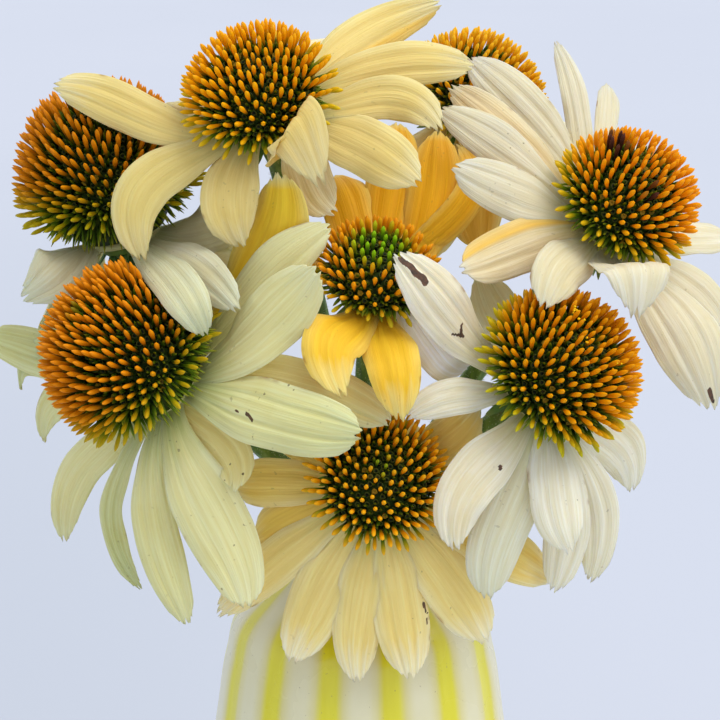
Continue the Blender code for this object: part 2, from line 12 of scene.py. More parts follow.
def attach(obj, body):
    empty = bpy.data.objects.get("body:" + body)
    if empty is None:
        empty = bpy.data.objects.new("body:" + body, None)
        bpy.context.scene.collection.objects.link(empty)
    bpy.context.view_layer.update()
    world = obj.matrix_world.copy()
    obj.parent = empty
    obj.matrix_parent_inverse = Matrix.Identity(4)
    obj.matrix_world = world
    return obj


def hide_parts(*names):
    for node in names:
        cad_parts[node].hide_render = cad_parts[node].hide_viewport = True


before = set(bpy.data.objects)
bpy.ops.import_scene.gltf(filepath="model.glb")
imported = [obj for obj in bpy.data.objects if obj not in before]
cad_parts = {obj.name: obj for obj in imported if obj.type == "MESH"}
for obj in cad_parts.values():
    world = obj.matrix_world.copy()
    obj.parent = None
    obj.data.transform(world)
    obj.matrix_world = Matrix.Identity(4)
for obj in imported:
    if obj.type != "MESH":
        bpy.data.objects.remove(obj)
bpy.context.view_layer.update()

MM = 0.001
GAP = 0.3  # between pieces that rest on each other

# The photograph's camera looks down by this much at the middle of the bouquet
LOOK_DOWN = math.radians(12)
MIDDLE = np.array([0, -30.9, 192])
ACROSS = np.array([1, 0, 0])
UP = np.array([0, math.sin(LOOK_DOWN), math.cos(LOOK_DOWN)])
NEAR = np.array([0, -math.cos(LOOK_DOWN), math.sin(LOOK_DOWN)])
CAMERA_DISTANCE = 650
FRAME_WIDTH = 151.2  # what the picture shows at the middle, in mm
SENSOR_WIDTH = 36

# The same named sizes as the part's source, in mm
VASE_OUTLINE = [
    (22.5, 0), (25, 2), (31.5, 22), (35, 44), (36, 66), (34.6, 88), (32.4, 105), (30.2, 119), (27.4, 128), (21.5, 134),
    (17, 138.5), (18.6, 146),
]
VASE_WALL = 3.4
VASE_FLOOR = 6
RIM_ROUNDING = 0.8
STRIPES = 14
STRIPE_TURN = math.radians(-102.7)
STEM_RADIUS = 2.3
NECK_HEIGHT = 139
NECK_RING = 9.6
FLOOR_RING = 15
FLOOR_TURN = math.radians(40)
HUB_SHARE = 0.4
HUB_THICKNESS = 1.7
CORE_SHARE = 0.8
SPINE_SHARE = 0.25
WAIST_SHARE = 0.3
SPINE_LEAN = 0.55
LOWEST_SPINE = math.radians(104)
GOLDEN_TURN = math.pi * (3 - math.sqrt(5))
ROOT_SHARE = 0.42
RULED_HANG = 0.3

# Finer detail that only the looks have, in mm
HUB_REST = HUB_THICKNESS / 2 + GAP  # from the hub's middle to what rests on it
PETAL_ROWS, PETAL_COLUMNS = 44, 18
PETAL_THICKNESS = 0.5
LONG_PETAL = 25  # a longer petal keeps its teeth nearer the tip
DOME_SHARE = 0.66  # the dark dome under the spines, as a share of the bloom's radius
SPINE_ROOM = 4.7  # dome area for each spine, in square mm
SPINE_GIRTH = 0.54
SPINE_ROOT = 0.4  # how far a spine reaches into the dome
# Rings of a spine and of a scale, as shares of the length and the width, and those of a floret: radius, height and tone
SPINE_LEVELS = np.array([(0, 0.5), (0.35, 0.56), (0.6, 0.82), (0.76, 1), (0.88, 0.88), (0.96, 0.52), (1, 0.14)])
SCALE_LEVELS = np.array([(0, 0.3), (0.5, 0.42), (0.8, 0.3), (1, 0.06)])
FLORET = np.array([(0.5, 0, 0), (0.42, 0.6, 0.3), (0.66, 1.3, 1), (0.34, 1.2, 0.6), (0.1, 0.9, 0)])
SPINE_SIDES, FLORET_SIDES, SCALE_SIDES = 6, 6, 4
SHRUNK = (1, 0.8, 0.62, 0.46)  # shares of its length tried for a spine until it is clear of the petals
SCALE_ROOT = 0.3
SPINE_CLEAR, FLORET_CLEAR, SCALE_CLEAR = 1.1, 1, 0.8  # how far they stay from the petals
SCALES_EACH = 1.85  # scales for each spine
LOWEST_SCALE = math.radians(138)
STEM_SIDES = 27
HAIRS = 900
# Rings of bracts: how many, where on the hub, how far below it, how long and how far outward they point
BRACT_RINGS = ((10, 0.62, 1.5, 6.4, 0.7), (9, 0.52, 2.5, 6, 0.25), (7, 0.42, 3.6, 5, 0.05))
BRACT_WIDTH = 1.9
VASE_SIDES = 180
# What a point of a head or a stem belongs to: the materials tell them apart by this value
DOME, SCALE, FLORET_CUP, SPINE, POLLEN_GRAIN = 0, 0.35, 0.5, 1, 1.3
STALK, RECEPTACLE, HAIR, BRACT = 0, 0.3, 0.6, 1
# Where spent brown spines and crumbs of pollen lie, across and up in mm, with a radius for the first
SPENT = {"f": [(53.4, 46.6, 2.4), (61, 35, 1.9)]}
POLLEN = {"g": [(44.3, 10.2), (45.2, 7.6), (47.8, 3.6), (51.2, 1.5), (53.4, -0.4)]}


@dataclass
class Ray:
    """A petal: its tip and the point halfway along it, from the hub, its form in mm and degrees, and its colouring.

    Without the point halfway, the petal hangs by rule.
    gold, green, pale and spots go from 0 to 1; on some petals green also darkens them as painted shade and pale
    lightens them as painted light. band is golden along one edge, and its sign says which one.
    marks are brown: how far along and across each lies, its length and half width in mm, and its turn in degrees.
    """

    tip: tuple
    middle: tuple | None
    width: float
    lift: float = 0
    twist: float = 0
    reach: float = 0.4
    veer: float = 0
    curl: float = 25
    gold: float = 0
    green: float = 0
    pale: float = 0
    spots: float = 0.25
    band: float = 0
    marks: tuple = ()


@dataclass
class Bloom:
    """One flower head and its stem, which stands at a seat of the ring in the vase's neck."""

    name: str
    hub: tuple
    facing: tuple
    radius: float
    height: float
    seat: int
    slot: str
    rays: list


BLOOMS = [Bloom("a", (-19.9, 51.2, 0), (-0.16, 0.62, 0.77), 16.6, 20, 4, "yellow_cream_petal", [
    Ray((-44.5, 6.1, 2), (-25.8, 0.1, 1), 10.1, 0, -37, veer=28),
    # green here also darkens the petal as painted shade
    Ray((-24.9, -30.9, 7), (-25.1, -15.8, 8), 10.9, 2, -35, veer=-10, green=0.1),
    Ray((-4.4, -28, 7), (-7.2, -16.7, 9), 12.2, 0, -17, veer=-14),
    Ray((12.2, -16.3, 18), (5.3, -4.1, 19), 15.1, -14, 35, reach=0.85, veer=-6, curl=12, gold=0.12),
    # pale here lightens the petal as painted light
    Ray((14.9, -20.5, 3), (8.6, -11, 2), 10.5, -10, 19, veer=12, green=0.05, pale=0.25),
    Ray((32.4, -14.8, 10), (21.2, -6.9, 8), 13, 0, 28, veer=8),
    Ray((36.8, -3.5, 5), (27.5, 3.7, 3), 9.7, 6, 39),
    Ray((44.1, 10.8, -5), (31.3, 11.6, -3), 9.7, 12, 38, veer=12),
    Ray((37.4, 25.6, -16), (21.7, 18.5, -12), 10.5, 12, 38, band=-0.7),
    Ray((14.7, 18.9, -24), None, 9.2, pale=0.3),
    Ray((-24.5, 3.6, -11), (-15.3, 0, -8), 8.8, 0, -41, pale=0.2),
]), Bloom("b", (-51, 27.1, -22), (-0.25, 0.91, 0.33), 20.4, 35, 5, "green_cream_petal", [
    Ray((26.2, -17.1, 38), (17.1, -8.1, 31), 10.1, -6, 35, spots=0.4),
    # green here also darkens the petal as painted shade
    Ray((19.7, -22.3, 42), (14.2, -12.5, 42), 9.7, -4, 19, curl=16, green=0.2, spots=0.5),
    Ray((-22.1, -14.2, 6), (-10.7, -5.1, 9), 13, 6, -46, spots=0.5),
    Ray((-10, -20.6, 2), None, 10.1, -26),
    Ray((-20.2, -23.8, -26), None, 10.1, -24),
    Ray((-10, -23.7, -28), None, 10.1, -20),
    Ray((5.9, -22, -44), None, 10.1, -50),
    Ray((21.4, -19.3, -22), None, 10.1, -28),
    Ray((26.6, -6.2, 10), (16.9, -3.7, 12), 10.9, -20, 50, green=0.15),
    Ray((29.3, 5.7, 12), (18.2, 2.7, 12), 13.9, -12, 60, green=0.1),
]), Bloom("c", (-39, -4.6, -2), (-0.69, 0.52, 0.5), 20.4, 31, 6, "pale_green_petal", [
    Ray((-44.4, 10.2, -36), None, 11.3, 2, green=0.35),
    Ray((-36.4, -2, -34), (-30.7, 5.9, -26), 10.5, -8, -15, green=0.45, spots=0.8),
    Ray((-30.9, -13.7, -32), (-27.2, -3.7, -26), 9.7, -10, -29, green=0.15),
    Ray((-25.3, -35, -22), (-22.9, -20.9, -18), 9.7, -8, -55),
    Ray((-8, -44.7, -12), (-14.4, -27.8, -9), 6.3, -6, -45, green=0.42),
    Ray((2.8, -51.1, 1), (-4.1, -31.1, 2), 9.7, -4, -52, green=0.12),
    Ray((15.3, -47, 8), (7.8, -27.6, 8), 14.7, -4, -33, veer=8, spots=0.5),
    Ray((12.5, -22.7, 11), (10.1, -13.4, 9), 10.9, -10, -14, gold=0.25, spots=0.9),
    # green here also darkens the petal as painted shade
    Ray((39.2, -10.3, 28), (23.5, -7.2, 21), 14.7, 4, 14, veer=-10, green=0.25, spots=0.8,
        marks=((0.44, -0.25, 2.6, 0.42, -30), (0.37, -0.22, 1.1, 0.35, 0))),
    Ray((45.1, -8.3, 16), (26.6, -0.1, 13), 10.9, 4, 26, gold=0.2),
    Ray((30.4, 23.3, 24), (21.8, 14, 19), 13.9, 8, 53, veer=-22),
    Ray((33, 32.6, 10), (22.4, 25, 10), 10.5, 10, 51),
    Ray((22.2, 43.6, 10), (20.6, 29.7, 6), 14.7, 8, 54, gold=1),
]), Bloom("d", (2.9, 14.1, 0), (0.08, 0.7, 0.71), 13.9, 15.5, -1, "golden_petal", [
    Ray((-6, -22, 19), (-7.4, -8.7, 16), 13, 10, -23),
    Ray((5.4, -26.9, 18), (3.6, -13.3, 17), 11.8, 0, 12),
    Ray((20.3, -15.5, -3), (13.7, -11.2, 7), 11.8, -4, 28, pale=1),
    Ray((-9, 25.9, -18), (-5.1, 16.8, -8), 11.3, 5, -14, gold=0.8),
    Ray((5.3, 37.6, -22), (3.5, 22.2, -10), 11.3, 6, gold=0.9),
    Ray((13.8, 35.3, -14), (12.4, 19.9, -8), 11.8, 6, 15, veer=-25, gold=0.9),
    Ray((18.1, 32.8, -16), (17.2, 16.7, -6), 7.1, 2, 23, gold=0.6),
    Ray((-22.4, 4.3, -18), None, 9.7, -8, gold=0.5),
]), Bloom("e", (22.7, 54, -38), (0.45, 0.68, 0.58), 16, 20, 3, "cream_petal", [
    Ray((-20.5, -22, 4), None, 10.5, -12, gold=0.3),
    Ray((-24.4, 3.6, 2), None, 10.5, -10),
    Ray((-18.1, 15.9, -22), None, 10.5, -8),
    Ray((-0.5, 14.8, -34), None, 10.5, -8),
    Ray((15.7, 8.8, -32), None, 10.5, -8),
    Ray((26, -2, -12), None, 11.8, -4),
    Ray((4.4, -29.6, 2), (3.4, -16.4, 4), 13, -12, 35, gold=0.85),
    Ray((-8.4, -32.2, 0), None, 10.5, -14, gold=0.5),
    Ray((14.6, -20.3, 2), (8.3, -9.8, 4), 11.8, -14, 47, gold=0.7),
]), Bloom("f", (51.4, 28.1, -8), (0.52, 0.61, 0.6), 16.3, 23.5, 2, "ivory_petal", [
    Ray((-27.7, 37.7, -16), (-18, 28.1, -6), 10.5, 8, -45, veer=-16),
    Ray((-35, 25.2, 4), (-23.6, 18.3, 6), 9.7, 6, -48, spots=0.6),
    Ray((-32.1, 12.3, 14), (-20.9, 7.5, 11), 11.3, 8, -46, veer=10),
    Ray((-30.6, -9.5, 20), (-17.7, -4.3, 13), 11.8, 8, -22, gold=0.2, band=-0.9),
    # green here also darkens the petal as painted shade
    Ray((-13.9, -17.6, 26), (-9.9, -9.1, 21), 11.8, -2, -4, gold=0.1, green=0.1),
    Ray((5.1, -19.9, 24), (4.8, -8.4, 22.5), 15.1, -8, 30, reach=0.6, curl=12),
    Ray((22.5, -38.7, 10), (14.9, -20.5, 12), 15.1, 2, 46, marks=((0.94, 0.1, 3, 0.5, 10),)),
    Ray((26.4, -22.7, -4), None, 13.4, 0, 41),
    Ray((30.5, -1.2, -24), None, 10.5, -6),
    Ray((13.4, 18.9, -34), None, 9.7, -4),
    Ray((3.5, 33.3, -28), None, 6.7, 4),
    Ray((-32.4, 30.7, -6), (-21.6, 21.8, -2), 9.7, 4, -49, gold=0.28),
    Ray((-8.7, 42, -20), (-4.6, 27.9, -13), 5.9, 10, -37),
]), Bloom("g", (36.3, -6.5, 0), (0.53, 0.47, 0.71), 18, 25.5, 1, "white_cream_petal", [
    Ray((-29.2, 28.3, 20), (-20.4, 18.8, 17), 11.8, 5, -46, gold=0.1,
        marks=((0.875, -0.05, 8.8, 0.8, 2), (0.405, 0.24, 3.2, 0.42, 28), (0.42, -0.02, 2.6, 0.4, -42))),
    Ray((-27, -5.7, 10), (-17.3, -1.1, 10), 8, -4, -19),
    Ray((-16.5, -32.9, 11), (-12.8, -17.8, 12), 11.8, -6, 9, gold=0.12, marks=((0.4, 0.45, 1.5, 0.5, 40),)),
    Ray((-9.5, -43.7, 2), (-5.5, -25.1, 6), 12.6, -8, 26, green=0.2),
    Ray((7.6, -33.7, 8), (4.1, -20, 8), 11.3, 2, 33, spots=0.6),
    Ray((4.7, -43, -8), (7.6, -28.3, -3), 10.1, -8, 43),
    Ray((13, -41.3, -14), (14.2, -24.9, -7), 9.7, -8, 47),
    Ray((22.4, -22, -18), (18.9, -11.6, -10), 11.8, -10, 41),
    Ray((22, -0.2, -24), None, 9.7, -16),
    Ray((17.6, 9.8, -28), None, 9.7, -16),
    Ray((-10.9, 25.9, -16), (-5.7, 14.6, -12), 10.9, -8, -41, green=0.3),
]), Bloom("h", (3.4, -27, -4), (0.08, 0.33, 0.94), 15.6, 17, 0, "peach_cream_petal", [
    Ray((-31.1, 0.6, -6), None, 10.9, -8, -12, gold=0.25),
    Ray((-26.1, -12.5, -8), None, 12.2, -8, -11, gold=0.55),
    Ray((-33.8, -27.4, -4), (-21.2, -15.8, -2), 10.1, -4, -10),
    Ray((-18, -37.4, -4), (-11.6, -22.5, -1), 13.4, -6),
    Ray((-4, -41.6, -4), (-3.4, -24.5, 0), 11.3, -6),
    Ray((7.4, -40.6, -2), (4.9, -24.5, 0), 12.6, -4, 8, spots=0.5,
        marks=((0.62, 0.88, 3.2, 0.28, 10), (0.7, 0.9, 1.6, 0.3, 0))),
    Ray((23.4, -33.2, -3), (15, -19.4, 0), 13, -6, 13, spots=0.4),
    Ray((37.9, -20, -8), None, 11.3, -8, gold=0.25),
    Ray((21.9, 17.4, 2), (13.5, 8.9, 1), 10.5, -6, 12, gold=0.2),
    Ray((7.8, 14.6, -10), None, 9.2, -16),
    Ray((-7.7, 14.1, -12), None, 9.2, -16),
    Ray((-21.5, 12.4, -12), None, 9.7, -12, gold=0.3),
])]


# ---- Geometry helpers, in mm ----


def unit(v):
    """The vector, or each one of many, at length 1."""
    v = np.asarray(v, float)
    return v / np.linalg.norm(v, axis=-1, keepdims=True)


def direction(across, up, near):
    """A direction given as the viewer sees it, in world axes."""
    return across * ACROSS + up * UP + near * NEAR


def place(across, up, near):
    """A point given as the viewer sees it, in world axes."""
    return MIDDLE + direction(across, up, near)


def own_axes(bloom):
    """The bloom's own three axes as a matrix's columns, and the function that takes its own points to the world."""
    turn = np.array(Vector(direction(*bloom.facing)).to_track_quat("Z", "Y").to_matrix())
    origin = place(*bloom.hub)
    return turn, lambda points: np.asarray(points) @ turn.T + origin


def turned(v, axis, angle):
    """v turned about the axis by the angle in radians."""
    axis = unit(axis)
    return v * math.cos(angle) + np.cross(axis, v) * math.sin(angle) + axis * (axis @ v) * (1 - math.cos(angle))


def bezier(points, t):
    """The point at t on the cubic through four handles."""
    a, b, c, d = points
    return a * (1 - t) ** 3 + 3 * b * t * (1 - t) ** 2 + 3 * c * t * t * (1 - t) + d * t**3


def bezier_slope(points, t):
    """The unit tangent at t of the same cubic."""
    a, b, c, d = points
    return unit((b - a) * (1 - t) ** 2 + 2 * (c - b) * t * (1 - t) + (d - c) * t * t)


def smooth(low, high, value):
    """0 at low, 1 at high and smooth in between; low may be the greater."""
    t = np.clip((value - low) / (high - low), 0, 1)
    return t * t * (3 - 2 * t)


def hill(x, middle, width):
    """A rounded hill of height 1."""
    return np.exp(-(((x - middle) / width) ** 2))


def square_on(way, hint=(0.3, 0.9, 0.2)):
    """Two directions square on to the way and to each other."""
    side = unit(np.cross(way, hint))
    return side, np.cross(way, side)


def ring_points(middles, radii, side, other):
    """Rings round the middles; radii has a row for each ring and a column for each point of it."""
    angles = np.arange(radii.shape[1]) * 2 * math.pi / radii.shape[1]
    ways = np.outer(np.cos(angles), side) + np.outer(np.sin(angles), other)
    return (middles[:, None] + radii[..., None] * ways).reshape(-1, 3)


# ---- Meshes ----


class Build:
    """Collects points, faces and named values at each point for one piece."""

    def __init__(self):
        self.points, self.faces, self.values, self.count = [], [], [], 0

    def add(self, points, faces, **values):
        points = np.asarray(points, float).reshape(-1, 3)
        self.points.append(points)
        self.faces += [tuple(int(i) + self.count for i in face) for face in faces]
        self.values.append((len(points), values))
        self.count += len(points)

    def piece(self, name, node, material):
        mesh = bpy.data.meshes.new(name)
        mesh.from_pydata((np.concatenate(self.points) * MM).tolist(), [], self.faces)
        mesh.validate()
        mesh.shade_smooth()
        for key in dict.fromkeys(key for _, values in self.values for key in values):
            held = [np.broadcast_to(np.asarray(values.get(key, 0), float), (count,)) for count, values in self.values]
            layer = mesh.attributes.new(key, "FLOAT", "POINT")
            layer.data.foreach_set("value", np.concatenate(held).astype(np.float32))
        made = bpy.data.objects.new(name, mesh)
        bpy.context.scene.collection.objects.link(made)
        mesh.materials.append(material)
        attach(made, "root")
        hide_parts(node)


def grid_faces(rows, columns, wrap=False, start=0):
    """Quads over rows x columns of points; wrap joins the last column to the first."""
    faces = []
    for i in range(start, start + (rows - 1) * columns, columns):
        for j in range(columns if wrap else columns - 1):
            k = (j + 1) % columns
            faces.append((i + j, i + k, i + columns + k, i + columns + j))
    return faces


def turned_over(faces):
    """The same faces, seen from their other side."""
    return [face[::-1] for face in faces]


def tube_faces(rings, sides):
    """A tube of rings with a flat face at each end."""
    last = (rings - 1) * sides
    ends = [tuple(range(sides))[::-1], tuple(range(last, last + sides))]
    return grid_faces(rings, sides, wrap=True) + ends


def sheet_faces(rows, columns):
    """A closed thin sheet: all its upper points come first, then its lower ones."""
    n = rows * columns
    faces = turned_over(grid_faces(rows, columns)) + grid_faces(rows, columns, start=n)
    edge = [*range(columns), *range(2 * columns - 1, n, columns)]
    edge += [*range(n - 2, n - columns - 1, -1), *range(n - 2 * columns, 0, -columns)]
    return faces + [(a, b, b + n, a + n) for a, b in zip(edge, edge[1:] + edge[:1])]


def lathe(build, profile, sides, world, swell=None, **values):
    """A closed turned form about the local Z axis from (radius, height) points."""
    angles = np.arange(sides) * 2 * math.pi / sides
    rings = []
    for radius, height in profile:
        r = radius * (np.ones(sides) if swell is None else swell(angles, height))
        rings.append(np.stack([r * np.cos(angles), r * np.sin(angles), np.full(sides, height)], 1))
    build.add(world(np.concatenate(rings)), grid_faces(len(profile), sides, wrap=True), **values)


# ---- Petals ----


def ray_handles(bloom, ray):
    """The four handles of a petal's midline and the side that its root faces."""
    hub = place(*bloom.hub)
    axis = unit(direction(*bloom.facing))
    tip = hub + direction(*ray.tip)
    out = tip - hub
    out = turned(unit(out - axis * (out @ axis)), axis, math.radians(ray.veer))
    root = hub + out * bloom.radius * HUB_SHARE * 0.72
    chord = np.linalg.norm(tip - root)
    lift = math.radians(ray.lift)
    start = out * math.cos(lift) + axis * math.sin(lift)
    first = root + start * chord * ray.reach
    if ray.middle:
        middle = hub + direction(*ray.middle)
        before = np.linalg.norm(middle - root)
        t = min(0.66, max(0.34, before / (before + np.linalg.norm(tip - middle))))
        known = root * (1 - t) ** 3 + 3 * first * t * (1 - t) ** 2 + tip * t**3
        second = (middle - known) / (3 * t * t * (1 - t))
    else:
        second = tip - unit(unit(tip - first) - axis * RULED_HANG) * chord * 0.3
    return (root, first, second, tip), unit(np.cross(axis, start))


def half_width(t):
    """Half the width along a petal, as a share of its greatest width."""
    grown = np.minimum(1, t / 0.48)
    shoulder = ROOT_SHARE + (1 - ROOT_SHARE) * grown * grown * (3 - 2 * grown)
    taper = np.maximum(0, (t - 0.62) / 0.38)
    return 0.5 * shoulder * (1 - 0.62 * taper**2.2)


def midline(handles, side, twist, steps=160):
    """Points, sideways directions and faces' directions along a petal's midline, which turns only by the twist."""
    ts = np.linspace(0, 1, steps + 1)
    slope = bezier_slope(handles, 0)
    rows = []
    for t in ts:
        new_slope = bezier_slope(handles, t)
        bend = np.cross(slope, new_slope)
        angle = math.atan2(np.linalg.norm(bend), slope @ new_slope)
        if angle > 1e-9:
            side = turned(side, bend, angle)
        slope = new_slope
        across = turned(side, slope, math.radians(twist) * min(1, t / 0.6))
        rows.append(np.concatenate([bezier(handles, t), across, np.cross(slope, across)]))
    return ts, np.array(rows)


def marks_on(ray, t, s, half, length):
    """How far each point lies in one of the petal's brown marks, from 0 to 1."""
    mark = np.zeros_like(t)
    for along, aside, size, wide, turn in ray.marks:
        x, y = (t - along) * length, (s - aside) * half
        a = math.radians(turn)
        x, y = x * math.cos(a) + y * math.sin(a), y * math.cos(a) - x * math.sin(a)
        # A bent stroke that narrows towards one end
        reach = np.maximum(0, np.abs(x) - (size / 2 - wide))
        bent = y + 0.2 * wide * np.sin(x * 1.7 + aside * 9)
        girth = wide * (1 - 0.35 * np.clip(x / size + 0.5, 0, 1))
        mark = np.maximum(mark, smooth(1.25, 0.75, np.hypot(reach, bent) / girth))
    return mark


def petal(build, bloom, ray, seed, cloud):
    """One petal as a thin pleated blade with a toothed tip; its points are kept in the cloud."""
    chance = np.random.default_rng(seed)
    handles, side = ray_handles(bloom, ray)
    ts, rows = midline(handles, side, ray.twist)
    length = np.sum(np.linalg.norm(np.diff(rows[:, :3], axis=0), axis=1))
    fine = 2 if ray.marks else 1
    n, m = PETAL_ROWS * fine + 1, PETAL_COLUMNS * fine + 1
    s = np.linspace(-1, 1, m)[None, :]
    u = np.linspace(0, 1, n)[:, None]
    off = np.abs(s)
    # The end is rounded and has two or three teeth
    teeth = 1.5 * hill(s, chance.uniform(-0.12, 0.02), 0.13)
    teeth = teeth + chance.uniform(0.2, 1.2) * hill(off, 0.5, 0.1)
    cut = (teeth + 4.2 * off**2.6 + 0.3 * np.sin(s * 23 + seed)) / length
    t = np.clip(u - cut * u ** (7 if length > LONG_PETAL else 4), 0, 1)
    values = np.stack([np.interp(t, ts, rows[:, k]) for k in range(9)], axis=-1)
    centre, across, face = values[..., :3], unit(values[..., 3:6]), unit(values[..., 6:9])
    # Its cross-section is an arc
    half = half_width(t) * ray.width * (1 + 0.03 * np.sin(t * 9 + seed))
    spread = math.radians(ray.curl) * np.minimum(1, t / 0.3) + 1e-6
    over = np.sin(spread * s) / spread * half
    down = (1 - np.cos(spread * s)) / spread * half
    # Two long grooves and finer pleats between them, and edges that wave
    grown = smooth(0.04, 0.35, t)
    relief = 0.07 * np.cos(s * 25 + 0.6 * np.sin(t * 5 + seed)) - 0.42 * hill(off, 0.34, 0.13) - 0.16 * hill(s, 0, 0.09)
    relief = relief * grown * (1 - 0.3 * smooth(0.8, 1, t))
    wave = 0.38 * s * off * np.sin(t * chance.uniform(7, 11) + chance.uniform(0, 6)) * grown
    wave = wave + 0.3 * off**3 * np.sin(t * chance.uniform(14, 20) + chance.uniform(0, 6)) * grown
    middle = centre + across * over[..., None] + face * (relief + wave - down)[..., None]
    cloud.append(middle.reshape(-1, 3))
    thin = PETAL_THICKNESS / 2 * (1.25 - 0.35 * t) * (1 - 0.75 * off**4) * (1 - 0.6 * smooth(0.92, 1, u))
    thick = face * thin[..., None]

    def both(value):
        """A value of the upper points, repeated for the lower ones."""
        return np.tile(np.broadcast_to(value, t.shape).ravel(), 2)

    build.add(
        np.stack([middle + thick, middle - thick]), sheet_faces(n, m), along=both(t), aside=both(s),
        under=np.repeat([0, 1], n * m), seed=seed * 0.37 % 1, gold=ray.gold, green=ray.green, pale=ray.pale,
        spots=ray.spots, band=ray.band, mark=both(marks_on(ray, t, s, half, length)),
    )


def hub_ring(build, bloom):
    """The thin ring that the petals grow from."""
    edge, half = bloom.radius * HUB_SHARE, HUB_THICKNESS / 2
    profile = [(0, -half), (edge * 0.9, -half), (edge, -half * 0.5), (edge, half * 0.5), (edge * 0.9, half), (0, half)]
    lathe(build, profile, 40, own_axes(bloom)[1], under=1, green=0.5)


# ---- Heads ----


def cone_shape(bloom):
    """The dome's radius, waist and height above the waist."""
    waist = bloom.height * WAIST_SHARE
    return bloom.radius * CORE_SHARE, waist, bloom.height - bloom.radius * SPINE_SHARE * 0.7 - waist


def dome_areas(bloom, lowest):
    """Polar angles down to the lowest, and the dome's area above each of them in square mm."""
    core, waist, crown = cone_shape(bloom)
    polars = np.linspace(0, lowest, 400)
    level = np.where(polars < math.pi / 2, crown, waist)
    step = np.hypot(core * np.cos(polars), level * np.sin(polars)) * core * np.sin(polars)
    total = np.concatenate([[0], np.cumsum((step[1:] + step[:-1]) / 2)])
    return polars, total * (polars[1] - polars[0]) * 2 * math.pi


def seats(bloom, count, shift=0, lowest=LOWEST_SPINE):
    """Seats spaced evenly over the dome, each with its normal, the way a spine points there and its polar angle."""
    core, waist, crown = cone_shape(bloom)
    polars, areas = dome_areas(bloom, lowest)
    for i in range(count):
        polar = float(np.interp((i + 0.5) / count, areas / areas[-1], polars)) + shift
        turn = i * GOLDEN_TURN
        level = crown if polar < math.pi / 2 else waist
        flat = math.sin(polar) * np.array([math.cos(turn), math.sin(turn), 0])
        upright = np.array([0, 0, math.cos(polar)])
        seat = flat * core + upright * level + (0, 0, waist)
        normal = unit(flat / core + upright / level)
        lean = SPINE_LEAN * min(1, max(0, (LOWEST_SPINE - polar) / math.radians(50)))
        yield seat, normal, unit(normal + (0, 0, lean)), polar


def crumb(build, centre, size, chance):
    """A grain of pollen."""
    ways = np.array([(1, 0, 0), (-1, 0, 0), (0, 1, 0), (0, -1, 0), (0, 0, 1), (0, 0, -1)], float)
    points = [centre + size * chance.uniform(0.75, 1.1) * way for way in ways]
    faces = [(0, 2, 4), (2, 1, 4), (1, 3, 4), (3, 0, 4), (2, 0, 5), (1, 2, 5), (3, 1, 5), (0, 3, 5)]
    build.add(points, faces, kind=POLLEN_GRAIN)


